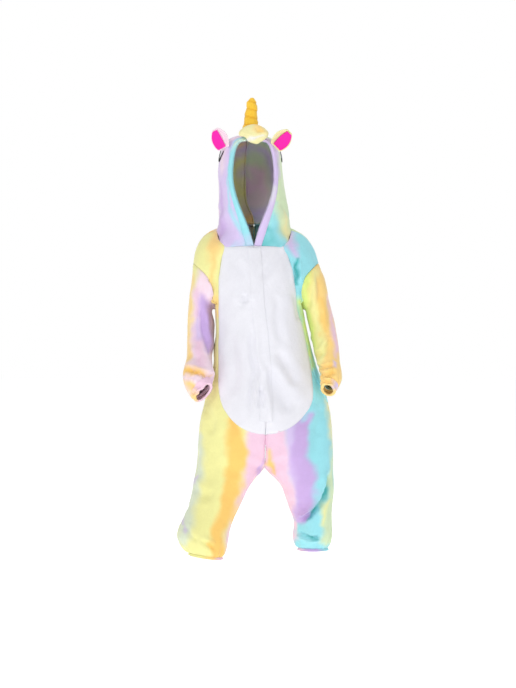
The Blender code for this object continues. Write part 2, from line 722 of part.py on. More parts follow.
# The eye's place, in the hood's own shares of the way along and across.
EYE_ALONG = 0.765
EYE_ACROSS = 0.36
EYE_SPAN = 0.125
EYE_SAG = 0.085
EYE_WIDTH = 0.026
EYE_THINNING = 0.65
EYE_STEPS = 8


def build_eye(word, side, finish):
    """A closed eye on the side of the hood: a curved strip that thins out at its ends."""
    points, slopes = [], []
    for k in range(EYE_STEPS + 1):
        t = 2 * k / EYE_STEPS - 1
        width = EYE_WIDTH * (1 - EYE_THINNING * t * t)
        along = EYE_ALONG - EYE_SAG * (1 - t * t)
        line, slope = [], []
        for edge in (-0.5, 0.5):
            place = (along + edge * width, EYE_ACROSS + EYE_SPAN * t)
            point = hood_point(side, *place)
            up = hood_point(side, place[0] + 0.01, place[1]) - point
            back = hood_point(side, place[0], place[1] + 0.01) - point
            normal = np.cross(back, up) * side
            line.append(point)
            slope.append(normal / np.linalg.norm(normal))
        points.append(line)
        slopes.append(slope)
    lying_on(f"eye_{word}", np.array(points), np.array(slopes), finish)


EAR_HEIGHT = 0.054
EAR_HALF = 0.0225
EAR_CUP = 0.012
EAR_HEAD_CURL = 1.7
EAR_COLUMNS = 6
EAR_ROWS = 6
EAR_SEAT = {-1: (0.790, 0.170), 1: (0.824, 0.020)}
EAR_LIFT = {-1: 0.0060, 1: 0.0038}
EAR_WALL = 0.004
EAR_LINING_WALL = 0.002
EAR_LINING_GAP = 0.0016
EAR_UP = {-1: (-0.46, -0.10, 0.88), 1: (0.72, -0.10, 0.69)}
EAR_FACING = (0.40, -0.90, -0.12)
# Share of the leaf that a piece covers: up it, then across it from the head's side to the outer side.
EAR_WHOLE = (0.0, 1.0, -1.0, 1.0)
EAR_LINING = {-1: (0.06, 0.93, -0.12, 0.90), 1: (0.06, 0.93, -0.32, 0.90)}


def ear_half_width(up):
    """Half the width of the leaf, from its base (0) past its widest to its rounded tip (1)."""
    return EAR_HALF * (0.62 + 1.25 * up - 1.62 * up**2.4) + 0.002


def ear_grid(side, cover, forward):
    """Part of a cupped leaf whose head side curls further over, moved forward off its own plane."""
    base = hood_point(side, *EAR_SEAT[side])
    up = np.array(EAR_UP[side])
    up /= np.linalg.norm(up)
    facing = np.array((side * EAR_FACING[0], EAR_FACING[1], EAR_FACING[2]))
    facing -= up * np.dot(facing, up)
    facing /= np.linalg.norm(facing)
    outward_way = np.cross(up, facing) * side
    rows, slopes = [], []
    for i in range(EAR_ROWS + 1):
        v = lerp(cover[0], cover[1], i / EAR_ROWS)
        half = ear_half_width(v)
        height = EAR_LIFT[side] + EAR_HEIGHT * v
        line, slope = [], []
        for j in range(EAR_COLUMNS + 1):
            u = lerp(cover[2], cover[3], j / EAR_COLUMNS)
            bend = EAR_CUP * (1 - 0.5 * v) * (EAR_HEAD_CURL if u < 0 else 1.0)
            point = base + up * height + outward_way * half * u + facing * (bend * u * u + forward)
            normal = facing - outward_way * (2 * bend * u / max(half, 0.01))
            line.append(point)
            slope.append(normal / np.linalg.norm(normal))
        rows.append(line)
        slopes.append(slope)
    return np.array(rows), np.array(slopes)


def build_ear(word, side, outer_finish, inner_finish):
    """A cupped ear and the lining that lies in it, nearer its outer side."""
    points, slopes = ear_grid(side, EAR_WHOLE, 0.0)
    cloth(f"ear_outer_{word}", points, slopes, outer_finish, wall=EAR_WALL)
    points, slopes = ear_grid(side, EAR_LINING[side], EAR_LINING_GAP + EAR_LINING_WALL)
    cloth(f"ear_inner_{word}", points, slopes, inner_finish, wall=EAR_LINING_WALL)


HORN_BASE = (-0.0106, -0.0470, 0.2700)
HORN_TIP = (-0.0050, -0.0560, 0.3665)
HORN_BASE_RADIUS = 0.0226
HORN_SEAT_SLOPE = 0.155
HORN_TIP_RADIUS = 0.0125
HORN_SIDES = 12
HORN_RINGS = 9
HORN_TURNS = 2.81
HORN_GROOVE = 0.0012
HORN_ROUNDING = 0.858
REST_GAP = 0.0012
HOOD_TOP_REACH = 0.012


def hood_top_points():
    """Points all over the upper half of the hood."""
    heights = [lerp(0.55, 1.0, i / 30) for i in range(31)]
    return np.array([hood_point(side, along, j / 24) for side in (-1, 1) for along in heights for j in range(25)])


def hood_top(points, x, y):
    """The highest point of the hood near this place, or nothing where the hood isn't under it."""
    near = points[np.hypot(points[:, 0] - x, points[:, 1] - y) < HOOD_TOP_REACH]
    return near[:, 2].max() if len(near) else None


def build_horn(finish):
    """A stuffed horn with a shallow spiral. Its base slopes with the hood that it is sewn to."""
    builder = bmesh.new()
    rings = []
    tip = np.array(HORN_TIP)
    for i in range(HORN_RINGS + 1):
        t = i / HORN_RINGS
        taper = lerp(HORN_BASE_RADIUS, HORN_TIP_RADIUS, t)
        past = max(0.0, (t - HORN_ROUNDING) / (1.01 - HORN_ROUNDING))
        radius = taper * math.sqrt(max(0.0, 1 - past**2))
        ring = []
        for j in range(HORN_SIDES):
            angle = 2 * math.pi * j / HORN_SIDES
            groove = HORN_GROOVE * math.cos(angle - 2 * math.pi * HORN_TURNS * t)
            out = radius + groove * min(1.0, radius / HORN_TIP_RADIUS)
            x = lerp(HORN_BASE[0], tip[0], t) + out * math.cos(angle)
            y = lerp(HORN_BASE[1], tip[1], t) + out * math.sin(angle)
            tilt = HORN_SEAT_SLOPE * (1 - t) * out * math.sin(angle)
            ring.append(builder.verts.new((x, y, lerp(HORN_BASE[2], tip[2], t) + tilt)))
        rings.append(ring)
    for low, high in zip(rings[:-1], rings[1:]):
        for j in range(HORN_SIDES):
            k = (j + 1) % HORN_SIDES
            builder.faces.new((low[j], low[k], high[k], high[j]))
    builder.faces.new(rings[0][::-1])
    builder.faces.new(rings[-1])
    placed("horn", builder, finish)


FORELOCK_CENTRE = (-0.0010, -0.1040, 0.2655)
FORELOCK_HALF = (0.0405, 0.0260, 0.0250)
FORELOCK_LOBES = 0.10
FORELOCK_DROOP = 0.0050
FORELOCK_SQUASH = 0.25


def build_forelock(finish):
    """A stuffed puff over the forehead: three soft lobes that rest on the hood and hang over its edge."""
    hood = hood_top_points()
    builder = bmesh.new()
    bmesh.ops.create_icosphere(builder, subdivisions=3, radius=1.0)
    for vertex in builder.verts:
        x, y, z = vertex.co
        lobes = 1 + FORELOCK_LOBES * math.cos(5.2 * x + 0.5) * max(0.0, 0.6 - z)
        droop = FORELOCK_DROOP * math.exp(-(((x - 0.40) / 0.55) ** 2)) * max(0.0, -z)
        at_x = FORELOCK_CENTRE[0] + FORELOCK_HALF[0] * x
        at_y = FORELOCK_CENTRE[1] + FORELOCK_HALF[1] * y * lobes
        at_z = FORELOCK_CENTRE[2] + FORELOCK_HALF[2] * z * (1 - FORELOCK_SQUASH * x * x) - droop
        under = hood_top(hood, at_x, at_y)
        if under is not None:
            at_z = max(at_z, under + REST_GAP)
        vertex.co = (at_x, at_y, at_z)
    placed("forelock", builder, finish)


def main():
    for old in list(bpy.data.objects):
        bpy.data.objects.remove(old)
    dyed = material("tie_dyed_flannel", (0.80, 0.66, 0.84), 0.9)
    white = material("white_flannel", (0.87, 0.87, 0.91), 0.9)
    aqua = material("hood_band_flannel", (0.60, 0.78, 0.84), 0.9)
    cream = material("cream_flannel", (0.92, 0.88, 0.58), 0.9)
    pink = material("pink_plush", (1.0, 0.05, 0.47), 0.85)
    golden = material("golden_flannel", (0.94, 0.63, 0.08), 0.85)
    black = material("black_felt", (0.01, 0.01, 0.012), 0.8)
    finishes = {
        "front": dyed,
        "back": dyed,
        "belly": white,
        "sleeve": dyed,
        "sleeve_cuff": dyed,
        "leg_cuff": dyed,
        "hood_band": aqua,
        "hood": dyed,
    }
    panels, normals = build_shell(finishes)
    build_placket(panels, normals, white)
    for word, side in SIDES:
        build_pocket(word, panels, normals, dyed)
        build_eye(word, side, black)
        build_ear(word, side, cream, pink)
    build_horn(golden)
    build_forelock(cream)


main()
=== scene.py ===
"""Unicorn onesie in tie-dyed plush flannel: cloth, stuffed trims and studio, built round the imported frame."""

import functools
import math

import bmesh
import bpy
import numpy as np
from mathutils import Matrix, Vector, bvhtree, kdtree, noise


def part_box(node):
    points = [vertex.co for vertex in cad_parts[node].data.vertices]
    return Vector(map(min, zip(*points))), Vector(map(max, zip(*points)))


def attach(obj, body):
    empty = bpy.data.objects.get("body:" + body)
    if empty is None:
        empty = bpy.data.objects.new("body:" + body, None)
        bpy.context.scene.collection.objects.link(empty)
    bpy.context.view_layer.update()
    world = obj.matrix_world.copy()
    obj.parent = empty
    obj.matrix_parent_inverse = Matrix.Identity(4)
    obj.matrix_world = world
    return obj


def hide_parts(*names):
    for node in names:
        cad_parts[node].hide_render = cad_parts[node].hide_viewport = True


bl_info = {
    "name": "Unicorn onesie",
    "version": (1, 0, 0),
    "blender": (4, 5, 0),
    "location": "3D View > Sidebar > Onesie",
    "description": "Sews a hooded unicorn onesie of tie-dyed flannel round its packed frame",
    "category": "Add Mesh",
}

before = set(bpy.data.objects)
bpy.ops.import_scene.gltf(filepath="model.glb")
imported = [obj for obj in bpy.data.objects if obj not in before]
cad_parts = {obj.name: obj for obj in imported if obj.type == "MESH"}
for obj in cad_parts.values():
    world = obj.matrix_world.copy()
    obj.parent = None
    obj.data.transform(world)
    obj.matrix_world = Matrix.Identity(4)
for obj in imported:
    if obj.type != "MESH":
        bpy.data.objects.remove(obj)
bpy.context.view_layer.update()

MM = 0.001
SIDES = ("right", "left")

# How a copy of a solid is turned back into the quads it was cut from.
MERGE_DISTANCE = 0.01 * MM
WALLS = (2.8 * MM, 1.6 * MM)
PAIR_ANGLE = math.pi

LEVELS = 3
FITTING_ROUNDS = 3
CAGE_ROUNDS = 14
EVENING_ROUNDS = 8
CLOTH_FRAMES = 20
HORN_PITCH = 0.021
HORN_STITCH_DEPTH = 1.2 * MM
HORN_STITCH_WIDTH = 3.0 * MM


# ---------------------------------------------------------------- sizes and colours


def linear(code):
    """Turn an sRGB hex colour to linear red, green and blue"""
    parts = [int(code[i : i + 2], 16) / 255 for i in (1, 3, 5)]
    return [v / 12.92 if v <= 0.04045 else ((v + 0.055) / 1.055) ** 2.4 for v in parts]


def dye(name, code, description):
    """One colour of the palette"""
    return bpy.props.FloatVectorProperty(
        name=name, description=description, default=linear(code), subtype="COLOR", min=0.0, max=1.0
    )


def length(name, size, description, low=0.0, high=0.1):
    """One length of the cloth, in metres"""
    return bpy.props.FloatProperty(name=name, description=description, default=size, min=low, max=high, unit="LENGTH")


class OnesieDyes(bpy.types.PropertyGroup):
    """Colours of the flannel, plush and felt"""

    lemon: dye("Lemon", "#EFECA2", "Main yellow of the tie-dye")
    apricot: dye("Apricot", "#FBD78A", "Soft orange where yellow meets pink")
    orange: dye("Orange", "#F8CC72", "Strongest orange streak")
    pink: dye("Pink", "#EFCBE0", "Pale pink between orange and lilac")
    blush: dye("Blush", "#F3DCE8", "Palest pink of the sleeves")
    lilac: dye("Lilac", "#D6C5EC", "Lilac of the hood and sleeves")
    purple: dye("Purple", "#C8ACE0", "Strongest purple streak")
    aqua: dye("Aqua", "#9BE0EA", "Clear blue-green of the left side")
    # Teal is painted shade: the thin lines in the creases of the left chest and left leg and at the foot of the hood's
    # left face edge. On the back it is a dye streak.
    teal: dye("Teal", "#25A7A4", "Dark blue-green where the dye pools")
    lime: dye("Lime", "#E0F08C", "Yellow-green between lemon and aqua")
    green: dye("Green", "#D3E6BE", "Pale green of the left leg and hood")
    mist: dye("Mist", "#DCE6CC", "Grey-green at the right leg's edge")
    cream: dye("Cream", "#F0E9AE", "Cream flannel of the forelock and ears")
    snow: dye("Snow", "#E7E7EE", "White flannel of the belly")
    magenta: dye("Magenta", "#F42CAB", "Hot pink plush of the ear linings")
    gold: dye("Gold", "#FACB45", "Golden flannel of the horn")
    ink: dye("Ink", "#141216", "Black felt of the eyes")


class OnesieCloth(bpy.types.PropertyGroup):
    """Sizes of the cloth and its sewing"""

    wall: length("Wall", 2.8 * MM, "Thickness of the flannel with its pile")
    trim_wall: length("Trim wall", 1.6 * MM, "Thickness of the pressed trims")
    seam_depth: length("Seam depth", 1.9 * MM, "How far a seam draws the cloth in")
    seam_reach: length("Seam reach", 9.0 * MM, "How wide a seam's valley is on each side")
    allowance: length("Seam allowance", 6.0 * MM, "Cloth turned to the inside along a cut edge")
    billow: length("Billow", 3.2 * MM, "Height of the broad soft waves in the cloth")
    ripple: length("Ripple", 1.1 * MM, "Height of the smaller waves")
    pile: length("Pile", 0.45 * MM, "Unevenness of the pile along the outline")
    crease: bpy.props.FloatProperty(
        name="Crease strength", description="Scales every placed crease", default=1.35, min=0.0, max=2.0
    )


class OnesieStage(bpy.types.PropertyGroup):
    """Camera and floor"""

    distance: length("Distance", 5.0, "From the camera to the wearer's place", 0.5, 20.0)
    height: length("Height", -0.286, "Height of the camera from the neck seam", -2.0, 2.0)
    aside: length("Aside", 0.0106, "How far the camera stands to the wearer's left", -1.0, 1.0)
    lens: bpy.props.FloatProperty(
        name="Lens", description="Focal length", default=97.6, min=20.0, max=300.0, unit="CAMERA"
    )
    floor: length("Floor height", -0.915, "Where the wearer's soles would be", -2.0, 0.0)


# ---------------------------------------------------------------- dye streaks, and painted shade along some creases
# Each streak is a colour, how soft its edge is, and points of (across, height, half width), all in millimetres.
# "front" and "back" lay the streaks in x and z, "side" in y and z. Later streaks lie over earlier ones.

BODY_BACK = {
    "right": [
        ("mist", 18, (-190, -200, 22), (-185, -420, 24), (-170, -600, 26), (-185, -830, 24)),
        ("orange", 16, (-118, 40, 10), (-128, -130, 20), (-112, -320, 24), (-124, -520, 22), (-112, -700, 22), (-128, -830, 18)),
        ("pink", 18, (-84, 40, 18), (-72, -180, 24), (-82, -380, 20), (-66, -560, 24), (-78, -700, 14)),
        ("lilac", 18, (-34, 40, 24), (-30, -160, 20), (-40, -340, 26), (-20, -520, 26), (-8, -610, 22)),
        ("purple", 14, (-18, -60, 8), (-12, -200, 14), (-22, -380, 12), (0, -480, 16), (6, -600, 12)),
    ],
    "left": [
        ("aqua", 18, (20, 40, 26), (34, -150, 30), (24, -330, 26), (50, -480, 30), (60, -620, 22)),
        ("teal", 14, (30, -230, 4), (36, -300, 6), (30, -360, 3)),
        ("lime", 18, (84, 30, 16), (92, -170, 20), (82, -350, 16), (104, -520, 20), (116, -690, 16)),
        ("apricot", 18, (142, -80, 14), (150, -260, 22), (138, -430, 20), (152, -600, 22), (160, -760, 18)),
        ("pink", 16, (176, -330, 10), (186, -480, 14), (180, -640, 12), (190, -800, 12)),
        ("lilac", 16, (92, -640, 10), (108, -740, 16), (112, -830, 16)),
    ],
}

STREAKS = {
    "front_right": (
        "lemon",
        "front",
        [
            ("apricot", 15, (-98, 8, 14), (-103, -28, 18), (-109, -62, 9)),
            ("blush", 12, (-92, 24, 10), (-80, -2, 7)),
            ("apricot", 9, (-108, -66, 5), (-106, -140, 6), (-100, -215, 4)),
            ("mist", 14, (-146, -530, 10), (-152, -640, 14), (-176, -740, 18), (-192, -810, 16)),
            ("lilac", 7, (-160, -640, 2), (-163, -656, 3)),
            ("lilac", 7, (-192, -752, 4), (-187, -772, 3)),
            ("pink", 13, (16, -500, 30), (6, -570, 34), (2, -610, 28), (-12, -660, 20), (-30, -715, 15), (-50, -760, 13), (-64, -800, 12), (-66, -834, 10)),
            ("orange", 11, (-70, -492, 8), (-57, -525, 20), (-47, -575, 25), (-44, -605, 26), (-55, -640, 21), (-56, -668, 23), (-65, -712, 22), (-80, -752, 16), (-100, -792, 16), (-92, -834, 18)),
            ("orange", 9, (-120, -812, 3), (-104, -822, 8)),
            ("purple", 9, (24, -584, 3), (21, -606, 7), (14, -628, 9)),
        ],
    ),
    "front_left": (
        "aqua",
        "front",
        [
            ("lilac", 14, (92, 20, 14), (102, -18, 16), (108, -52, 7)),
            ("blush", 10, (84, 10, 6), (88, -14, 5)),
            ("lime", 10, (128, -172, 6), (140, -230, 10), (148, -300, 7), (154, -340, 3)),
            # painted shade: a thin teal line in the crease on the left chest
            ("teal", 6, (112, -62, 2), (110, -92, 3), (112, -124, 1.5)),
            ("cream", 9, (200, -400, 7), (205, -480, 9), (207, -560, 6)),
            ("green", 11, (208, -560, 6), (208, -640, 9), (206, -700, 15), (205, -755, 20), (202, -815, 20)),
            ("lemon", 9, (196, -700, 2), (190, -742, 5), (184, -770, 3)),
            ("lilac", 14, (92, -500, 16), (100, -560, 16), (106, -620, 16), (114, -680, 16), (112, -740, 12)),
            ("pink", 12, (34, -500, 34), (42, -545, 42), (54, -590, 42), (62, -640, 34), (82, -690, 28), (98, -745, 16)),
            ("purple", 11, (158, -478, 4), (122, -505, 20), (124, -545, 24), (120, -580, 20), (130, -625, 24), (136, -665, 26), (142, -705, 24), (126, -742, 18), (112, -760, 10)),
            ("lilac", 10, (96, -500, 8), (98, -540, 6)),
            ("orange", 8, (40, -556, 3), (44, -592, 8), (52, -622, 9)),
            # painted shade: teal lines in the fold where the left leg's cloth lies over itself, and in the short fold
            # above the hem
            ("teal", 6, (198, -646, 1.5), (186, -690, 3.5), (166, -728, 3), (140, -752, 1)),
            ("teal", 5, (136, -800, 1), (152, -806, 2.5), (172, -807, 1)),
            ("pink", 9, (104, -772, 7), (106, -800, 11), (104, -830, 10)),
        ],
    ),
    "back_right": ("lemon", "back", BODY_BACK["right"]),
    "back_left": ("green", "back", BODY_BACK["left"]),
    "sleeve_right": (
        "blush",
        "front",
        [
            ("lemon", 14, (-132, -60, 16), (-160, -84, 15), (-168, -170, 8), (-172, -262, 6)),
            ("apricot", 12, (-166, -110, 5), (-172, -200, 7), (-176, -330, 10)),
            ("pink", 14, (-150, -150, 8), (-146, -260, 12), (-140, -340, 10)),
            ("purple", 12, (-132, -165, 6), (-126, -214, 18), (-120, -262, 19), (-112, -310, 11)),
            ("lilac", 12, (-150, -222, 5), (-142, -262, 8)),
            # orange dye laid along the elbow crease, standing there also for the crease's painted shade
            ("orange", 8, (-180, -356, 10), (-156, -357, 8), (-132, -366, 4), (-112, -374, 1)),
            ("apricot", 11, (-176, -388, 9), (-162, -420, 8), (-140, -430, 6)),
            ("pink", 11, (-128, -392, 8), (-112, -410, 8)),
        ],
    ),
    "sleeve_left": (
        "apricot",
        "front",
        [
            ("lime", 13, (134, -96, 14), (132, -150, 14), (139, -200, 12), (150, -255, 13), (160, -300, 8)),
            ("lemon", 13, (160, -90, 8), (154, -170, 8), (176, -290, 14), (168, -330, 8)),
            ("orange", 14, (176, -170, 4), (182, -220, 7), (184, -250, 4)),
            ("pink", 11, (196, -160, 2), (213, -240, 8), (224, -310, 9)),
            ("orange", 12, (205, -352, 5), (198, -376, 8), (184, -392, 8)),
            ("lilac", 8, (214, -338, 5), (212, -352, 3)),
        ],
    ),
    "hood_right": (
        "lilac",
        "side",
        [
            ("blush", 22, (-60, 262, 14), (-50, 215, 18), (-62, 180, 10)),
            ("aqua", 9, (-98, 262, 6), (-94, 190, 3), (-92, 110, 3), (-90, 40, 4), (-88, -6, 7), (-84, -34, 9)),
            ("purple", 18, (-46, 140, 8), (-42, 60, 12), (-34, -10, 10)),
            ("pink", 20, (14, 270, 16), (6, 180, 18), (18, 80, 20), (10, -30, 18)),
            ("apricot", 20, (60, 250, 10), (62, 160, 16), (70, 60, 16), (62, -30, 14)),
            ("lemon", 20, (104, 230, 12), (112, 120, 20), (106, 20, 18)),
        ],
    ),
    "hood_left": (
        "green",
        "side",
        [
            ("lilac", 22, (-92, 262, 20), (-74, 225, 20), (-84, 170, 8)),
            ("aqua", 16, (-88, 66, 6), (-84, 30, 14), (-78, -4, 24), (-74, -34, 26)),
            # painted shade: teal at the foot of the hood's face edge
            ("teal", 16, (-90, 10, 5), (-84, -16, 7)),
            ("cream", 18, (-34, 40, 12), (-24, -10, 16)),
            ("aqua", 20, (30, 260, 14), (22, 160, 18), (36, 60, 20), (26, -30, 16)),
            ("lilac", 20, (78, 240, 12), (72, 140, 16), (86, 40, 18)),
            ("pink", 20, (114, 200, 12), (116, 100, 18), (108, 10, 12)),
        ],
    ),
    "hood_band_right": ("aqua", "side", [("lilac", 16, (-90, -34, 10), (-94, -6, 8)), ("mist", 16, (-96, 262, 18), (-96, 235, 6))]),
    "hood_band_left": ("lilac", "side", [("aqua", 12, (-84, -34, 5)), ("snow", 18, (-90, 120, 6), (-90, 80, 4))]),
    "leg_cuff_right": ("apricot", "front", [("lemon", 16, (-180, -840, 20), (-150, -840, 20)), ("pink", 12, (-84, -840, 12))]),
    "leg_cuff_left": ("purple", "front", [("pink", 14, (120, -836, 16)), ("aqua", 14, (196, -836, 18))]),
    "sleeve_cuff_right": ("pink", "front", [("apricot", 12, (-162, -420, 14))]),
    "sleeve_cuff_left": ("apricot", "front", [("lilac", 12, (216, -400, 12))]),
    "pocket_welt_right": ("lemon", "front", []),
    "pocket_welt_left": ("aqua", "front", [("cream", 8, (198, -390, 8))]),
}
FORELOCK_DYE_AND_SHADE = [
    ("apricot", 12, (-2, 276, 7), (14, 270, 8), (24, 264, 4)),
    # painted shade: a thin darker orange line along the crease at the foot of the apricot spot
    ("orange", 9, (8, 268, 2), (18, 266, 2)),
    ("snow", 8, (-30, 246, 2), (-4, 240, 4), (22, 246, 2)),
]
SLEEVE_BACK = {
    "sleeve_right": (
        "pink",
        [
            ("lemon", 14, (-150, -70, 20), (-160, -180, 14), (-168, -320, 12)),
            ("lilac", 14, (-124, -110, 10), (-126, -240, 14), (-132, -400, 12)),
            ("orange", 10, (-170, -250, 8), (-150, -275, 8), (-128, -268, 3)),
        ],
    ),
    "sleeve_left": (
        "lemon",
        [
            ("aqua", 14, (132, -90, 14), (146, -200, 12), (160, -300, 10), (184, -400, 10)),
            ("apricot", 14, (172, -110, 12), (190, -230, 12), (205, -350, 14)),
            ("pink", 11, (196, -160, 4), (213, -240, 10), (224, -310, 10)),
        ],
    ),
}

# ---------------------------------------------------------------- creases
# Each crease is its half width, depth, lean and points of (across, height), in millimetres. A negative depth is a
# ridge. Lean sets which side of the line stands higher, from -1 to 1, left of the way it runs for positive.

CREASES = {
    "body_front": [
        (8, 5.2, 0.5, (-10, -232), (-6, -290), (3, -358), (-6, -420), (-18, -484)),
        (5, 5.0, 0.0, (18, -398), (14, -425), (12, -456)),
        (5, 4.2, 0.0, (18, -398), (23, -425), (25, -458)),
        (8, -3.8, 0.0, (24, -326), (36, -420), (48, -503)),
        (20, 7.0, 0.2, (34, -350), (70, -415), (98, -470)),
        (15, 5.2, -0.2, (62, -300), (92, -360), (118, -398)),
        (11, 4.0, 0.3, (80, -26), (50, -75), (18, -120)),
        (10, 3.8, 0.0, (-26, -152), (-20, -180)),
        (15, 4.6, 0.0, (-62, -250), (-50, -340), (-58, -430)),
        (13, 3.8, 0.0, (-38, -60), (-26, -120), (-34, -200)),
        (12, 4.0, 0.3, (66, -150), (60, -220), (72, -290)),
        (5, 3.2, 0.0, (26, -528), (33, -550), (30, -570)),
        (7, 12.0, -1.0, (204, -622), (196, -648), (180, -697), (156, -734), (116, -768)),
        (5, 7.5, -0.7, (116, -786), (146, -803), (182, -802)),
        (6, 5.0, 0.6, (-142, -796), (-120, -808), (-98, -814)),
        (7, 3.6, 0.4, (-186, -762), (-164, -790), (-146, -800)),
        (17, 3.0, 0.2, (-104, -548), (-116, -620), (-132, -716)),
        (15, 2.8, -0.2, (-48, -640), (-68, -700), (-86, -768)),
        (13, 3.0, 0.3, (-168, -664), (-138, -684), (-104, -690)),
        (14, 2.6, 0.0, (154, -486), (164, -540), (160, -612)),
        (11, 3.6, 0.4, (36, -628), (62, -604), (96, -590)),
        (9, 3.0, 0.2, (42, -634), (64, -660), (92, -684)),
        (11, 3.2, -0.4, (24, -628), (-4, -606), (-34, -594)),
        (9, 2.8, -0.2, (18, -632), (2, -662), (-20, -692)),
        (12, 3.0, 0.0, (88, -700), (112, -716), (140, -712)),
        (7, 3.4, 0.3, (-106, -96), (-104, -140), (-98, -192)),
        (6, 6.0, 0.2, (112, -58), (110, -92), (112, -126)),
        (10, 3.4, -0.2, (104, -146), (116, -190), (120, -232)),
        (13, 3.0, 0.2, (-124, -450), (-112, -486), (-116, -530)),
        (12, 3.2, -0.3, (186, -446), (172, -490), (176, -540)),
        (14, 2.4, 0.0, (-150, -560), (-154, -610), (-146, -650)),
    ],
    "body_back": [
        (24, 4.2, 0.2, (-62, -40), (-78, -140), (-70, -250)),
        (26, 4.0, -0.2, (74, -50), (62, -150), (70, -270)),
        (16, 3.0, 0.0, (-20, -60), (-8, -150), (-16, -230)),
        (20, 4.4, 0.4, (-142, -322), (-90, -346), (-20, -350)),
        (18, 4.0, -0.3, (150, -338), (96, -372), (24, -366)),
        (16, 3.4, 0.2, (-134, -392), (-80, -404), (-34, -396)),
        (14, 3.2, 0.0, (150, -420), (110, -432), (60, -424)),
        (11, 5.6, 0.5, (-146, -548), (-92, -588), (-20, -606), (16, -604)),
        (11, 5.2, -0.5, (196, -540), (140, -584), (76, -606), (36, -604)),
        (6, 4.6, 0.0, (24, -520), (30, -560), (27, -606)),
        (16, 3.8, 0.2, (-112, -630), (-130, -700), (-146, -790)),
        (15, 3.4, -0.2, (120, -630), (128, -690), (120, -760)),
        (10, 5.2, 0.5, (96, -676), (140, -694), (198, -690)),
        (9, 4.6, -0.4, (-184, -716), (-136, -738), (-76, -728)),
        (8, 4.0, 0.3, (118, -764), (152, -780), (194, -772)),
        (8, 3.8, 0.0, (-190, -782), (-156, -796), (-118, -790)),
        (13, 3.0, 0.0, (-108, -160), (-98, -220), (-104, -290)),
        (13, 3.0, 0.0, (112, -170), (104, -230), (112, -300)),
    ],
    "sleeve_right_front": [
        (7, 4.6, 0.6, (-142, -178), (-137, -220), (-133, -258), (-114, -313), (-96, -360)),
        (6, 6.6, 0.7, (-186, -352), (-156, -357), (-126, -367), (-96, -380)),
        (12, 3.2, 0.0, (-166, -150), (-158, -210), (-150, -290)),
        (7, 3.6, 0.3, (-174, -388), (-146, -398), (-112, -396)),
        (6, 3.0, -0.3, (-166, -408), (-142, -416), (-118, -414)),
        (9, 3.2, 0.0, (-122, -92), (-130, -130), (-128, -172)),
        (10, 3.4, 0.4, (-176, -312), (-158, -322), (-136, -320)),
    ],
    "sleeve_right_back": [
        (8, 5.0, 0.4, (-180, -262), (-152, -272), (-120, -262)),
        (7, 4.2, -0.4, (-176, -300), (-150, -312), (-122, -306)),
        (13, 3.4, 0.0, (-140, -100), (-148, -160), (-146, -230)),
        (9, 3.6, 0.2, (-180, -350), (-156, -364), (-130, -356)),
        (7, 3.2, 0.0, (-170, -390), (-150, -400), (-128, -396)),
    ],
    "sleeve_left_front": [
        (9, 4.8, 0.3, (168, -84), (172, -150), (171, -240)),
        (7, 5.0, -0.6, (208, -264), (198, -284), (183, -310), (158, -322)),
        (5, 4.0, 0.4, (160, -344), (182, -350), (212, -340)),
        (5, 4.0, 0.4, (166, -362), (188, -368), (218, -358)),
        (5, 3.6, 0.3, (174, -380), (194, -386), (214, -378)),
        (8, 3.4, 0.0, (146, -108), (148, -150), (152, -198)),
        (10, 3.0, 0.2, (192, -150), (200, -200), (206, -240)),
    ],
    "sleeve_left_back": [
        (9, 5.2, -0.4, (150, -250), (180, -262), (210, -250)),
        (8, 4.2, 0.3, (160, -296), (186, -306), (214, -292)),
        (13, 3.6, 0.0, (150, -96), (160, -160), (164, -220)),
        (7, 3.6, 0.0, (172, -348), (192, -356), (216, -346)),
    ],
    "forelock": [
        (4, 2.6, 0.5, (-40, 262), (-22, 256), (0, 253), (20, 258), (38, 266)),
        (5, 1.8, 0.0, (4, 284), (12, 272), (26, 268)),
    ],
    "hood": [
        (14, 3.0, 0.3, (-72, 40), (-40, 6), (4, -18)),
        (12, 2.6, -0.2, (-66, 90), (-30, 66), (10, 60)),
        (16, 3.4, 0.0, (40, 20), (70, 50), (104, 60)),
        (14, 2.6, 0.0, (20, 150), (60, 170), (96, 160)),
    ],
}


# ---------------------------------------------------------------- making cloth


def soft_step(value):
    """Ease from 0 to 1"""
    t = np.clip(value, 0.0, 1.0)
    return t * t * (3.0 - 2.0 * t)


def flutter(points, size, seed):
    """Soft noise, three columns of about -1 to 1, with waves of the given size"""
    start = Vector((7.3, 3.1, 5.7)) * seed
    return np.array([noise.noise_vector(Vector(p) / size + start) for p in points])


def along_line(across, height, points):
    """Each point's distance from a line, which side it is on, its share of the way and the line's own widths"""
    stops = np.array([p[:3] if len(p) > 2 else (*p, 0.0) for p in points], dtype=float) * MM
    runs = np.linalg.norm(stops[1:, :2] - stops[:-1, :2], axis=1) if len(stops) > 1 else np.array([1.0])
    starts = np.concatenate(([0.0], np.cumsum(runs)))
    best = np.full(len(across), np.inf)
    side, share, width = np.zeros(len(across)), np.zeros(len(across)), np.zeros(len(across))
    ends = stops[1:] if len(stops) > 1 else stops + (0.0, MM, 0.0)
    for i, (a, b) in enumerate(zip(stops, ends)):
        way = b[:2] - a[:2]
        dx, dz = across - a[0], height - a[1]
        t = np.clip((dx * way[0] + dz * way[1]) / (way @ way), 0.0, 1.0)
        gap = np.hypot(dx - t * way[0], dz - t * way[1])
        here = a[2] + t * (b[2] - a[2])
        nearer = gap - here < best
        best = np.where(nearer, gap - here, best)
        side = np.where(nearer, np.sign(dz * way[0] - dx * way[1]) * gap, side)
        share = np.where(nearer, (starts[i] + t * runs[min(i, len(runs) - 1)]) / starts[-1], share)
        width = np.where(nearer, here, width)
    return best, side, share, width


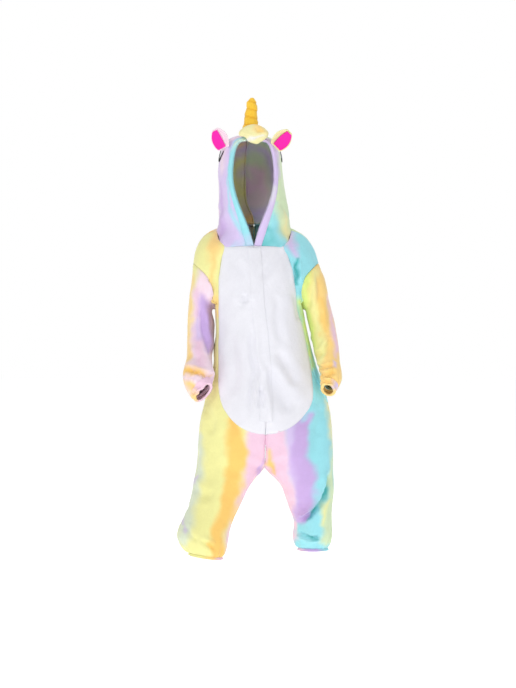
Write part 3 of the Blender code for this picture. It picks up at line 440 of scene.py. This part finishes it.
def streaked(points, base, view, streaks, palette):
    """Colour the points: a base colour with soft wavy streaks over it, of dye and in places of painted shade"""
    across = points[:, 1] if view == "side" else points[:, 0]
    waves = flutter(points, 0.075, 1) * 0.011 + flutter(points, 0.026, 2) * 0.0075
    fine = flutter(points, 0.011, 3) * 0.0018
    x, z = across + waves[:, 0] + fine[:, 0], points[:, 2] + (waves[:, 1] + fine[:, 1]) * 1.5
    colours = np.tile(np.array(palette[base]), (len(points), 1))
    for colour, soft, *line in streaks:
        gap = along_line(x, z, line)[0]
        share = soft_step(0.5 - gap / (2.0 * soft * MM))[:, None]
        colours = colours * (1.0 - share) + np.array(palette[colour]) * share
    return colours


SHOULDER_AT = 1.7
SHOULDER_HEIGHT = 0.42
TAPER = 0.22


def creased(points, view, creases):
    """How far each point stands in or out for a list of creases"""
    across = points[:, 1] if view == "side" else points[:, 0]
    wobble = flutter(points, 0.045, 5) * 0.004
    x, z = across + wobble[:, 0], points[:, 2] + wobble[:, 1]
    height = np.zeros(len(points))
    for width, depth, lean, *line in creases:
        _, side, share, _ = along_line(x, z, line)
        t = side / (width * MM)
        fade = soft_step(share / TAPER) * soft_step((1.0 - share) / TAPER)
        shape = -np.exp(-t * t)
        for sign in (1, -1):
            shape += SHOULDER_HEIGHT * (1.0 + sign * lean) * np.exp(-((t - sign * SHOULDER_AT) ** 2))
        height += depth * MM * shape * fade
    return height


def merged_copy(name):
    """A CAD solid's mesh with its doubles merged"""
    bm = bmesh.new()
    bm.from_mesh(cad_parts[name].data)
    bmesh.ops.remove_doubles(bm, verts=bm.verts, dist=MERGE_DISTANCE)
    return bm


def joined(bm, influence=1.6):
    """Join the triangles into the quads they were cut from"""
    bmesh.ops.join_triangles(
        bm,
        faces=bm.faces,
        angle_face_threshold=PAIR_ANGLE,
        angle_shape_threshold=math.pi,
        topology_influence=influence,
    )
    return bm


def islands(bm):
    """Groups of joined faces"""
    waiting, groups = set(bm.faces), []
    while waiting:
        group = [waiting.pop()]
        for face in group:
            for edge in face.edges:
                for other in edge.link_faces:
                    if other in waiting:
                        waiting.discard(other)
                        group.append(other)
        groups.append(group)
    return groups


def squareness(points):
    """The worst corner of a quad, from 1 for a square one down through 0 for a flat or folded one"""
    sides = [points[(k + 1) % 4] - points[k] for k in range(4)]
    corners = [sides[k - 1].cross(sides[k]) / max(sides[k - 1].length * sides[k].length, 1e-12) for k in range(4)]
    middle = sum(corners, Vector()).normalized()
    return min(corner.dot(middle) for corner in corners)


def way_to_next(start):
    """The shortest way over faces from one lone triangle to another"""
    came, waiting = {start: None}, [start]
    for face in waiting:
        for other in (f for edge in face.edges for f in edge.link_faces if f not in came):
            came[other] = face
            if len(other.verts) == 3:
                way = [other]
                while came[way[-1]]:
                    way.append(came[way[-1]])
                return way[::-1]
            waiting.append(other)
    return []


def paired_up(bm):
    """Pair the triangles left over, by passing each one through the quads that lie between it and the next"""
    while len(lone := [f for f in bm.faces if len(f.verts) == 3]) > 1:
        way = way_to_next(lone[0])
        if not way:
            return
        face = way[0]
        for ahead, after in zip(way[1:-1], way[2:]):
            whole = bmesh.utils.face_join([face, ahead])
            gate = next(edge for edge in whole.edges if after in edge.link_faces)
            ring = list(whole.verts)
            first = next(k for k in range(5) if {ring[k], ring[(k + 1) % 5]} == set(gate.verts))
            ring = ring[first:] + ring[:first]
            early, late = [ring[k] for k in (1, 2, 3, 4)], [ring[k] for k in (2, 3, 4, 0)]
            better = squareness([v.co for v in early]) > squareness([v.co for v in late])
            bmesh.utils.face_split(whole, *((ring[4], ring[1]) if better else (ring[0], ring[2])))
            face = next(f for f in gate.link_faces if f is not after)
        bmesh.utils.face_join([face, way[-1]])


def third(one, two, used):
    """The unused triangle on an edge, and its far corner"""
    for face in set(one.link_faces) & set(two.link_faces) - used:
        return face, next(vert for vert in face.verts if vert not in (one, two))
    return None, None


def edge_points(bm, height):
    """The open edge's points from corner to corner along the hem, and the next point up the side"""
    hem = {vert for vert in bm.verts if vert.is_boundary and vert.co.z < height}
    steps = {v: [e.other_vert(v) for e in v.link_edges if e.is_boundary] for v in bm.verts if v.is_boundary}
    corner = next(vert for vert in hem if any(step not in hem for step in steps[vert]))
    row = [corner]
    while onward := [step for step in steps[row[-1]] if step in hem and step not in row]:
        row.append(onward[0])
    return row, steps


def walked(bm):
    """Join triangles into quads row by row, from the hem upwards"""
    row, steps = edge_points(bm, min(vert.co.z for vert in bm.verts) + MM)
    below, used, diagonals = set(row), set(), []
    while side := [step for step in steps.get(row[0], ()) if step not in below]:
        above = [side[0]]
        for one, two in zip(row, row[1:]):
            face, far = third(one, two, used)
            used.add(face)
            start = two if far is above[-1] else one
            corner = far
            partner, last = third(start, corner, used)
            used.add(partner)
            diagonals.append(bm.edges.get((start, corner)))
            above.append(last if start is two else corner)
        below.update(above)
        row = above
    bmesh.ops.dissolve_edges(bm, edges=diagonals)


def outer_layer(name, influence=1.6):
    """The outer face of a cloth solid, as one open sheet of quads"""
    bm = merged_copy(name)
    rim = [f for f in bm.faces if any(abs(e.calc_length() - wall) < 0.03 * MM for e in f.edges for wall in WALLS)]
    bmesh.ops.delete(bm, geom=rim, context="FACES")
    outside = set(max(islands(bm), key=lambda group: sum(face.calc_area() for face in group)))
    bmesh.ops.delete(bm, geom=[face for face in bm.faces if face not in outside], context="FACES")
    if name.startswith("front"):
        walked(bm)
    else:
        paired_up(joined(bm, influence))
    crooked = sum(len(v.link_edges) > 3 if v.is_boundary else len(v.link_edges) != 4 for v in bm.verts)
    if crooked and influence > 0.1:
        bm.free()
        return outer_layer(name, influence - 0.4)
    form = bvhtree.BVHTree.FromBMesh(bm)
    inner = [v for v in bm.verts if not v.is_boundary]
    for _ in range(CAGE_ROUNDS):
        evened_once(bm, inner)
        for vert in inner:
            vert.co = form.find_nearest(vert.co)[0]
    return bm


def evened_once(bm, verts):
    """Move each point part of the way to the middle of its neighbours"""
    bmesh.ops.smooth_vert(bm, verts=verts, factor=0.5, use_axis_x=True, use_axis_y=True, use_axis_z=True)


def coordinates(mesh, count=None):
    """A mesh's points as an array"""
    flat = np.empty(len(mesh.vertices) * 3)
    mesh.vertices.foreach_get("co", flat)
    return flat.reshape(-1, 3)[:count]


def settled(obj):
    """Apply an object's modifiers and give back its mesh"""
    bpy.context.view_layer.update()
    graph = bpy.context.evaluated_depsgraph_get()
    mesh = bpy.data.meshes.new_from_object(obj.evaluated_get(graph))
    obj.modifiers.clear()
    old, obj.data = obj.data, mesh
    bpy.data.meshes.remove(old)
    return mesh


def stuffed(name, voxel, cap):
    """A closed cloth form from its CAD solid, swollen by its stuffing with the cloth simulated and its movement capped"""
    obj = linked(name + "_cloth", joined(merged_copy(name)))
    cells = obj.modifiers.new("cells", "REMESH")
    cells.mode, cells.voxel_size = "VOXEL", voxel
    mesh = settled(obj)
    start = coordinates(mesh)
    stuffing = obj.modifiers.new("stuffing", "CLOTH")
    stuffing.settings.use_pressure = True
    stuffing.settings.uniform_pressure_force = 4.0
    stuffing.settings.effector_weights.gravity = 0.0
    stuffing.point_cache.frame_start, stuffing.point_cache.frame_end = 1, CLOTH_FRAMES
    scene = bpy.context.scene
    for frame_number in range(1, CLOTH_FRAMES + 1):
        scene.frame_set(frame_number)
    shown = obj.evaluated_get(bpy.context.evaluated_depsgraph_get())
    move = coordinates(shown.data) - start
    far = np.linalg.norm(move, axis=1)[:, None]
    obj.modifiers.clear()
    scene.frame_set(1)
    start = start + move * np.minimum(1.0, cap / np.maximum(far, 1e-9))
    mesh.vertices.foreach_set("co", start.ravel())
    mesh.update()
    rounding = obj.modifiers.new("rounding", "SUBSURF")
    rounding.levels = rounding.render_levels = 1
    settled(obj)
    return obj


def tinted(obj, colours):
    """Store each point's colour in the "dye" attribute, which holds painted shade as well as dye"""
    layer = obj.data.attributes.new("dye", "FLOAT_COLOR", "POINT")
    layer.data.foreach_set("color", np.c_[colours, np.ones(len(colours))].ravel())


def linked(name, bm):
    """A new object from a bmesh"""
    mesh = bpy.data.meshes.new(name)
    bm.to_mesh(mesh)
    bm.free()
    obj = bpy.data.objects.new(name, mesh)
    bpy.context.scene.collection.objects.link(obj)
    return obj


def smoothed(obj, levels):
    """Round the sheet with a subdivision surface that still passes through the points it was cut to"""
    soft = obj.modifiers.new("rounding", "SUBSURF")
    soft.levels = soft.render_levels = levels
    soft.boundary_smooth = "PRESERVE_CORNERS"
    target = coordinates(obj.data)
    for _ in range(FITTING_ROUNDS):
        bpy.context.view_layer.update()
        shown = obj.evaluated_get(bpy.context.evaluated_depsgraph_get())
        miss = target - coordinates(shown.data, len(target))
        obj.data.vertices.foreach_set("co", (coordinates(obj.data) + miss * 0.9).ravel())
        obj.data.update()
    return settled(obj)


def evened(mesh, rounds=EVENING_ROUNDS):
    """Even out a sheet's cells away from its cut edge, so that no pinched cell shows as a false fold"""
    bm = bmesh.new()
    bm.from_mesh(mesh)
    inner = [v for v in bm.verts if not v.is_boundary]
    for _ in range(rounds):
        evened_once(bm, inner)
    bm.to_mesh(mesh)
    bm.free()


def grown(places):
    """A search tree of places"""
    tree = kdtree.KDTree(len(places))
    for i, place in enumerate(places):
        tree.insert(place, i)
    tree.balance()
    return tree


def cut_edge(mesh):
    """The numbers of the points on a sheet's cut edge"""
    bm = bmesh.new()
    bm.from_mesh(mesh)
    ends = [v.index for v in bm.verts if v.is_boundary]
    bm.free()
    return ends


SEAM_MATCH = 4 * MM
SEAM_SHARE = 22 * MM


@functools.cache
def seams():
    """Where all the cut edges lie and the way the cloth faces there, so that two edges sewn together agree"""
    places, ways = [], []
    for name in STREAKS | dict.fromkeys(PLAIN_CLOTH):
        obj = linked("pattern", outer_layer(name))
        mesh = smoothed(obj, 2)
        for i in cut_edge(mesh):
            places.append(mesh.vertices[i].co.copy())
            ways.append(mesh.vertices[i].normal.copy())
        bpy.data.objects.remove(obj)
    return grown(places), ways


def facing(mesh):
    """Each point's distance to the nearest cut edge, and its way outwards, which neighbours share along a seam"""
    tree, ways = seams()
    ends = cut_edge(mesh)
    shared = []
    for i in ends:
        vert = mesh.vertices[i]
        total = vert.normal.copy()
        for _, j, _ in tree.find_range(vert.co, SEAM_MATCH):
            if ways[j].dot(vert.normal) > -0.97:
                total += ways[j]
        shared.append(total.normalized())
    edge = grown([mesh.vertices[i].co for i in ends])
    reach, out = np.empty(len(mesh.vertices)), np.empty((len(mesh.vertices), 3))
    for vert in mesh.vertices:
        _, nearest, gap = edge.find(vert.co)
        reach[vert.index] = gap
        own = min(gap / SEAM_SHARE, 1.0)
        out[vert.index] = vert.normal.lerp(shared[nearest], 1.0 - own * own * (3.0 - 2.0 * own)).normalized()
    return reach, out


def turned_in(mesh, ways, steps):
    """Turn the sheet's cut edges to its inside, as a seam allowance"""
    bm = bmesh.new()
    bm.from_mesh(mesh)
    ways = [Vector(way) for way in ways]
    for depth, spread in steps:
        bm.normal_update()
        edges = [e for e in bm.edges if e.is_boundary]
        inward = {}
        for edge in edges:
            face = edge.link_faces[0]
            for vert in edge.verts:
                out = vert.co - face.calc_center_median()
                out -= vert.normal * out.dot(vert.normal)
                inward.setdefault(vert.index, [ways[vert.index], Vector()])[1] += out.normalized()
        made = bmesh.ops.extrude_edge_only(bm, edges=edges)["geom"]
        fresh = {v for v in made if isinstance(v, bmesh.types.BMVert)}
        bm.verts.index_update()
        ways += [None] * len(fresh)
        for vert in fresh:
            old = next(e.other_vert(vert) for e in vert.link_edges if e.other_vert(vert) not in fresh)
            normal, out = inward[old.index]
            vert.co = old.co - normal * depth + out.normalized() * spread
            ways[vert.index] = normal
    bm.to_mesh(mesh)
    bm.free()


def gathered(points, hem, centre, reach, depth, count, seed):
    """Soft pleats that fan out from an elastic casing, uneven in length and depth"""
    angle = np.arctan2(points[:, 1] - centre[1], points[:, 0] - centre[0])
    ring = np.stack((np.cos(angle), np.sin(angle), points[:, 2] * 3.0), axis=1)
    uneven = flutter(ring, 0.55, seed)
    wave = np.cos(angle * count + uneven[:, 0] * 3.4)
    far = np.clip((points[:, 2] - hem) / (reach * (1.0 + 0.55 * uneven[:, 1])), 0.0, 3.0)
    return depth * wave * (0.65 + 0.55 * uneven[:, 2]) * np.exp(-far * far * 1.6) * soft_step(far * 6.0 + 0.25)


def finish_piece(obj, material, node):
    """Give a piece its material and body, and hide the CAD node it stands for"""
    for face in obj.data.polygons:
        face.use_smooth = True
    obj.data.materials.clear()
    obj.data.materials.append(material)
    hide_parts(node)
    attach(obj, "root")
    return obj


# ---------------------------------------------------------------- materials


def add_node(tree, kind, inputs=None, **settings):
    """Add a node, set its values and link its inputs"""
    node = tree.nodes.new(kind)
    for key, value in settings.items():
        setattr(node, key, value)
    for key, value in (inputs or {}).items():
        if isinstance(value, bpy.types.NodeSocket):
            tree.links.new(value, node.inputs[key])
        else:
            node.inputs[key].default_value = value
    return node


def plush(name, colour=None, mottle=0.05, pile_size=2.6 * MM, tuft_size=11 * MM, height=0.5, sheen=0.35):
    """Short-pile flannel: matt, with a soft bloom at its edges and patches where the pile is brushed aside.

    The pile is 1 mm deep and too fine to show, so it is drawn as fleck 2.6 mm across. Colour is the "dye" attribute
    where no colour is given; besides the dye it holds painted shade in some creases and grooves.
    """
    if name in bpy.data.materials:
        return bpy.data.materials[name]
    material = bpy.data.materials.new(name)
    material.use_nodes = True
    tree = material.node_tree
    tree.nodes.clear()
    place = add_node(tree, "ShaderNodeTexCoord").outputs["Object"]
    if colour is None:
        base = add_node(tree, "ShaderNodeAttribute", attribute_name="dye").outputs["Color"]
    else:
        base = add_node(tree, "ShaderNodeRGB").outputs[0]
        base.default_value = (*colour, 1.0)
    brushed = add_node(
        tree, "ShaderNodeTexNoise", {"Vector": place, "Scale": 1 / (34 * MM), "Detail": 4.0, "Roughness": 0.62}
    )
    fleck = add_node(tree, "ShaderNodeTexNoise", {"Vector": place, "Scale": 1 / pile_size, "Detail": 2.0})
    tuft = add_node(tree, "ShaderNodeTexNoise", {"Vector": place, "Scale": 1 / tuft_size, "Detail": 3.0})
    both = add_node(
        tree,
        "ShaderNodeMix",
        {"Factor": 0.4, "A": brushed.outputs["Fac"], "B": fleck.outputs["Fac"]},
    )
    shade = add_node(
        tree,
        "ShaderNodeMapRange",
        {"Value": both.outputs[0], "From Min": 0.3, "From Max": 0.7, "To Min": 1.0 - mottle, "To Max": 1.0 + mottle},
    )
    toned = add_node(tree, "ShaderNodeHueSaturation", {"Color": base, "Value": shade.outputs[0]})
    rough = add_node(
        tree, "ShaderNodeBump", {"Strength": height, "Distance": 1.2 * MM, "Height": tuft.outputs["Fac"]}
    )
    fuzz = add_node(
        tree,
        "ShaderNodeBump",
        {"Strength": height, "Distance": 0.5 * MM, "Height": fleck.outputs["Fac"], "Normal": rough.outputs[0]},
    )
    shader = add_node(
        tree,
        "ShaderNodeBsdfPrincipled",
        {
            "Base Color": toned.outputs[0],
            "Roughness": 0.95,
            "IOR": 1.45,
            "Specular IOR Level": 0.12,
            "Sheen Weight": sheen,
            "Sheen Roughness": 0.45,
            "Normal": fuzz.outputs[0],
        },
    )
    add_node(tree, "ShaderNodeOutputMaterial", {"Surface": shader.outputs[0]})
    return material


def palette():
    """The palette's colours as they are set: dyes, felt, and the teal that is also painted shade"""
    dyes = bpy.context.scene.onesie_dyes
    return {name: tuple(getattr(dyes, name)) for name in OnesieDyes.__annotations__}


# ---------------------------------------------------------------- the cloth pieces

PLAIN_CLOTH = ("belly_right", "belly_left", "placket")

CREASE_GROUPS = {"front": "body", "belly": "body", "back": "body", "placket": "body", "pocket": "body", "sleeve": "sleeve", "hood": "hood"}
HEM_GATHERS = {"right": (-0.841, (-0.128, -0.050)), "left": (-0.836, (0.159, 0.037))}


def crease_height(points, normals, name):
    """All the placed creases that reach a piece"""
    word, side = name.split("_")[0], name.split("_")[-1]
    group = CREASE_GROUPS.get(word)
    if group == "hood":
        return creased(points, "side", CREASES["hood"])
    if group is None:
        return np.zeros(len(points))
    group = f"sleeve_{side}" if group == "sleeve" else group
    front = soft_step(0.5 - normals[:, 1] * 1.3)
    ahead = creased(points, "front", CREASES[group + "_front"])
    behind = creased(points, "front", CREASES[group + "_back"])
    return ahead * front + behind * (1.0 - front)


def hem_tilt(points, name):
    """The right leg's hem hangs lower on its inner side"""
    if name not in ("front_right", "back_right", "leg_cuff_right"):
        return 0.0
    return (points[:, 0] + 0.160) * 0.14 * soft_step((-0.74 - points[:, 2]) / 0.08)


def sew(name, material, wall, levels=LEVELS, edges=None, seam=1.0, lively=1.0, colours=None):
    """Make one cloth piece from its CAD solid: rounded, creased, coloured with its dye and any painted shade, turned in
    at its edges and given a wall
    """
    cloth = bpy.context.scene.onesie_cloth
    obj = linked(name + "_cloth", outer_layer(name))
    mesh = smoothed(obj, levels)
    evened(mesh)
    points, normals = coordinates(mesh), np.array([v.normal[:] for v in mesh.vertices])
    lift = crease_height(points, normals, name) * cloth.crease
    reach, out = facing(mesh)
    if "cuff" in name:
        out = normals
    broad = flutter(points * (1.0, 1.0, 0.62), 0.085, 11)[:, 0]
    small = flutter(points * (1.0, 1.0, 0.7), 0.032, 12)[:, 0]
    hair = flutter(points, 0.0065, 13)[:, 0]
    free = soft_step(reach / 0.03)
    lift += lively * free * (broad * cloth.billow + small * cloth.ripple) + hair * cloth.pile
    lift -= seam * cloth.seam_depth * (1.0 - soft_step(reach / cloth.seam_reach))
    word, side = name.split("_")[0], name.split("_")[-1]
    if word in ("front", "back"):
        hem, centre = HEM_GATHERS[side]
        near = soft_step((hem + 0.16 - points[:, 2]) / 0.03)
        lift += gathered(points, hem, centre, 0.062, 3.4 * MM, 15, 21) * near
    if word == "sleeve" and not name.startswith("sleeve_cuff"):
        low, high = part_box(f"sleeve_cuff_{side}")
        centre = ((low + high) / 2)[:2]
        lift += gathered(points, high.z - 0.012, centre, 0.04, 2.2 * MM, 11, 22) * soft_step((high.z + 0.09 - points[:, 2]) / 0.02)
    places = points + out * lift[:, None]
    places[:, 2] -= hem_tilt(points, name)
    mesh.vertices.foreach_set("co", places.ravel())
    if colours is not None:
        layer = mesh.attributes.new("dye", "FLOAT_COLOR", "POINT")
        layer.data.foreach_set("color", np.c_[colours(points, normals), np.ones(len(points))].ravel())
    turned_in(mesh, out, edges or ((1.6 * MM, 0.25 * MM), (cloth.allowance, 0.1 * MM)))
    solid = obj.modifiers.new("wall", "SOLIDIFY")
    solid.thickness, solid.offset = wall, -1.0
    settled(obj)
    finish_piece(obj, material, name)
    return obj


def dyed(name):
    """The tie-dye of one piece, with the painted shade that some of its streaks lay in creases"""
    base, view, streaks = STREAKS[name]
    colours = palette()

    def paint(points, normals):
        front = streaked(points, base, view, streaks, colours)
        if name not in SLEEVE_BACK:
            return front
        behind_base, behind = SLEEVE_BACK[name]
        share = soft_step(0.5 + normals[:, 1] * 2.2)[:, None]
        return front * (1.0 - share) + streaked(points, behind_base, "back", behind, colours) * share

    return paint


def tie_dyed():
    """Tie-dyed flannel: the dye has soft wavy edges in the pile"""
    return plush("tie_dyed_plush_flannel")


class ONESIE_OT_body(bpy.types.Operator):
    """Sew the front, back and belly panels"""

    bl_idname = "onesie.body"
    bl_label = "Body panels"

    def execute(self, context):
        cloth = context.scene.onesie_cloth
        white = plush("white_plush_flannel", palette()["snow"], mottle=0.035, sheen=0.3)
        for side in SIDES:
            for word in ("front", "back"):
                name = f"{word}_{side}"
                sew(name, tie_dyed(), cloth.wall, colours=dyed(name))
            sew(f"belly_{side}", white, cloth.wall, lively=0.8)
        return {"FINISHED"}


class ONESIE_OT_sleeves(bpy.types.Operator):
    """Sew the sleeves"""

    bl_idname = "onesie.sleeves"
    bl_label = "Sleeves"

    def execute(self, context):
        cloth = context.scene.onesie_cloth
        for side in SIDES:
            name = f"sleeve_{side}"
            sew(name, tie_dyed(), cloth.wall, colours=dyed(name))
        return {"FINISHED"}


class ONESIE_OT_hood(bpy.types.Operator):
    """Sew the hood and the band round its face opening"""

    bl_idname = "onesie.hood"
    bl_label = "Hood"

    def execute(self, context):
        cloth = context.scene.onesie_cloth
        material = plush("tie_dyed_hood_flannel")
        for side in SIDES:
            for word, lively in (("hood", 0.8), ("hood_band", 0.2)):
                name = f"{word}_{side}"
                sew(name, material, cloth.wall, lively=lively, colours=dyed(name))
        return {"FINISHED"}


class ONESIE_OT_cuffs(bpy.types.Operator):
    """Sew the wrist and ankle casings"""

    bl_idname = "onesie.cuffs"
    bl_label = "Cuffs"

    def execute(self, context):
        cloth = context.scene.onesie_cloth
        for side in SIDES:
            for word in ("leg_cuff", "sleeve_cuff"):
                name = f"{word}_{side}"
                sew(name, tie_dyed(), cloth.wall, seam=0.0, lively=0.2, colours=dyed(name))
        return {"FINISHED"}


class ONESIE_OT_trims(bpy.types.Operator):
    """Sew the button placket and the pocket welts"""

    bl_idname = "onesie.trims"
    bl_label = "Placket and pockets"

    def execute(self, context):
        cloth = context.scene.onesie_cloth
        white = plush("white_plush_flannel", palette()["snow"], mottle=0.035, sheen=0.3)
        edges = ((1.0 * MM, 0.2 * MM), (1.5 * MM, 0.0))
        sew("placket", white, cloth.trim_wall, edges=edges, seam=0.5, lively=0.8)
        for side in SIDES:
            name = f"pocket_welt_{side}"
            sew(name, tie_dyed(), cloth.trim_wall, edges=edges, seam=0.5, colours=dyed(name))
        return {"FINISHED"}


class ONESIE_OT_ears(bpy.types.Operator):
    """Make the two ears with their pink linings"""

    bl_idname = "onesie.ears"
    bl_label = "Ears"

    def execute(self, context):
        colours = palette()
        for side in SIDES:
            for word, finish, colour in (("ear_outer", "ear_flannel", "blush"), ("ear_inner", "pink_plush", "magenta")):
                name = f"{word}_{side}"
                tint = "cream" if (word, side) == ("ear_outer", "left") else colour
                material = plush(f"{finish}_{tint}", colours[tint], mottle=0.06)
                obj = linked(name + "_cloth", joined(merged_copy(name)))
                smoothed(obj, LEVELS)
                finish_piece(obj, material, name)
        return {"FINISHED"}


class ONESIE_OT_eyes(bpy.types.Operator):
    """Lay the felt eyes on the hood"""

    bl_idname = "onesie.eyes"
    bl_label = "Eyes"

    def execute(self, context):
        felt = plush("black_wool_felt", palette()["ink"], mottle=0.2, sheen=0.1)
        for side in SIDES:
            name = f"eye_{side}"
            obj = linked(name + "_cloth", joined(merged_copy(name)))
            smoothed(obj, LEVELS)
            finish_piece(obj, felt, name)
        return {"FINISHED"}


class ONESIE_OT_horn(bpy.types.Operator):
    """Stuff the golden horn between its spiral stitches"""

    bl_idname = "onesie.horn"
    bl_label = "Horn"

    def execute(self, context):
        colours = palette()
        obj = stuffed("horn", 2.0 * MM, 2.0 * MM)
        mesh = obj.data
        points, normals = coordinates(mesh), np.array([v.normal[:] for v in mesh.vertices])
        low, high = points[:, 2].min(), points[:, 2].max()
        levels = np.linspace(low, high, 12)
        rings = [points[np.abs(points[:, 2] - level) < 0.006] for level in levels]
        middle = [np.interp(points[:, 2], levels, [ring[:, i].mean() for ring in rings]) for i in (0, 1)]
        turn = np.arctan2(points[:, 1] - middle[1], points[:, 0] - middle[0]) / math.tau
        gap = ((points[:, 2] - low) / HORN_PITCH + turn + 0.5) % 1.0 - 0.5
        stitch = np.exp(-((gap * HORN_PITCH / HORN_STITCH_WIDTH) ** 2)) * soft_step((high - points[:, 2]) / 0.012)
        mesh.vertices.foreach_set("co", (points - normals * (stitch * HORN_STITCH_DEPTH)[:, None]).ravel())
        # painted shade: the gold darkens to a deeper orange-gold in the stitch grooves
        gold, deep = np.array(colours["gold"]), np.array(colours["gold"]) * (0.85, 0.70, 0.50)
        tinted(obj, gold + (deep - gold) * (stitch * 0.7)[:, None])
        finish_piece(obj, plush("golden_plush_flannel", mottle=0.07), "horn")
        return {"FINISHED"}


class ONESIE_OT_forelock(bpy.types.Operator):
    """Stuff the cream forelock"""

    bl_idname = "onesie.forelock"
    bl_label = "Forelock"

    def execute(self, context):
        obj = stuffed("forelock", 2.5 * MM, 2.5 * MM)
        mesh = obj.data
        points, normals = coordinates(mesh), np.array([v.normal[:] for v in mesh.vertices])
        lift = creased(points, "front", CREASES["forelock"])
        mesh.vertices.foreach_set("co", (points + normals * lift[:, None]).ravel())
        tinted(obj, streaked(points, "cream", "front", FORELOCK_DYE_AND_SHADE, palette()))
        finish_piece(obj, plush("cream_plush_flannel", mottle=0.06), "forelock")
        return {"FINISHED"}


# ---------------------------------------------------------------- stage

AMBIENT = 0.42
BACKDROP = 1.0
FLOOR_GLOW = 0.6


def soft_light(name, place, aim, size, power, colour=(1.0, 1.0, 1.0)):
    """A large square studio light"""
    data = bpy.data.lights.new(name, "AREA")
    data.shape, data.size, data.energy, data.color = "SQUARE", size, power, colour
    obj = bpy.data.objects.new(name, data)
    obj.location = place
    obj.rotation_euler = (Vector(aim) - Vector(place)).to_track_quat("-Z", "Y").to_euler()
    bpy.context.scene.collection.objects.link(obj)


class ONESIE_OT_stage(bpy.types.Operator):
    """Set the floor, the lights and the camera"""

    bl_idname = "onesie.stage"
    bl_label = "Stage"

    def execute(self, context):
        scene = context.scene
        stage = scene.onesie_stage
        bm = bmesh.new()
        bmesh.ops.create_grid(bm, x_segments=1, y_segments=1, size=30.0, matrix=Matrix.Translation((0, 0, stage.floor)))
        floor = linked("floor", bm)
        paper = bpy.data.materials.new("matt_white_floor")
        paper.use_nodes = True
        shader = paper.node_tree.nodes["Principled BSDF"]
        shader.inputs["Base Color"].default_value = (*linear("#FAFAFA"), 1.0)
        shader.inputs["Roughness"].default_value = 0.9
        shader.inputs["Emission Color"].default_value = (1.0, 1.0, 1.0, 1.0)
        shader.inputs["Emission Strength"].default_value = FLOOR_GLOW
        floor.data.materials.append(paper)
        world = bpy.data.worlds.new("studio")
        world.use_nodes = True
        tree = world.node_tree
        tree.nodes.clear()
        seen = add_node(tree, "ShaderNodeLightPath").outputs["Is Camera Ray"]
        strength = add_node(tree, "ShaderNodeMapRange", {"Value": seen, "To Min": AMBIENT, "To Max": BACKDROP})
        sky = add_node(tree, "ShaderNodeBackground", {"Color": (1.0, 1.0, 1.0, 1.0), "Strength": strength.outputs[0]})
        add_node(tree, "ShaderNodeOutputWorld", {"Surface": sky.outputs[0]})
        scene.world = world
        aim = (0.0, 0.0, -0.3)
        soft_light("key", (-1.6, -3.4, 1.9), aim, 1.5, 52.0)
        soft_light("fill", (2.6, -2.4, 0.5), aim, 2.0, 10.0)
        soft_light("top", (0.2, 0.4, 2.8), aim, 2.0, 20.0)
        soft_light("behind", (0.6, 3.2, 1.4), aim, 2.4, 28.0)
        camera = bpy.data.objects.new("camera", bpy.data.cameras.new("camera"))
        camera.data.lens = stage.lens
        camera.data.clip_end = 100.0
        camera.location = (stage.aside, -stage.distance, stage.height)
        camera.rotation_euler = (math.pi / 2, 0.0, 0.0)
        scene.collection.objects.link(camera)
        scene.camera = camera
        scene.view_settings.view_transform = "Standard"
        return {"FINISHED"}


class ONESIE_PT_panel(bpy.types.Panel):
    """Lists the onesie's pieces and sizes"""

    bl_idname = "ONESIE_PT_panel"
    bl_label = "Unicorn onesie"
    bl_space_type = "VIEW_3D"
    bl_region_type = "UI"
    bl_category = "Onesie"

    def draw(self, context):
        for operator in OPERATORS:
            self.layout.operator(operator.bl_idname)
        for group in (context.scene.onesie_cloth, context.scene.onesie_dyes, context.scene.onesie_stage):
            box = self.layout.box()
            for name in type(group).__annotations__:
                box.prop(group, name)


GROUPS = {"onesie_dyes": OnesieDyes, "onesie_cloth": OnesieCloth, "onesie_stage": OnesieStage}
OPERATORS = (
    ONESIE_OT_body,
    ONESIE_OT_sleeves,
    ONESIE_OT_hood,
    ONESIE_OT_cuffs,
    ONESIE_OT_trims,
    ONESIE_OT_ears,
    ONESIE_OT_eyes,
    ONESIE_OT_horn,
    ONESIE_OT_forelock,
    ONESIE_OT_stage,
)


def register():
    for kind in (*GROUPS.values(), *OPERATORS, ONESIE_PT_panel):
        bpy.utils.register_class(kind)
    for name, group in GROUPS.items():
        setattr(bpy.types.Scene, name, bpy.props.PointerProperty(type=group))


def unregister():
    for name in GROUPS:
        delattr(bpy.types.Scene, name)
    for kind in reversed((*GROUPS.values(), *OPERATORS, ONESIE_PT_panel)):
        bpy.utils.unregister_class(kind)


def main():
    register()
    for operator in OPERATORS:
        group, name = operator.bl_idname.split(".")
        getattr(getattr(bpy.ops, group), name)()


if __name__ == "__main__":
    main()
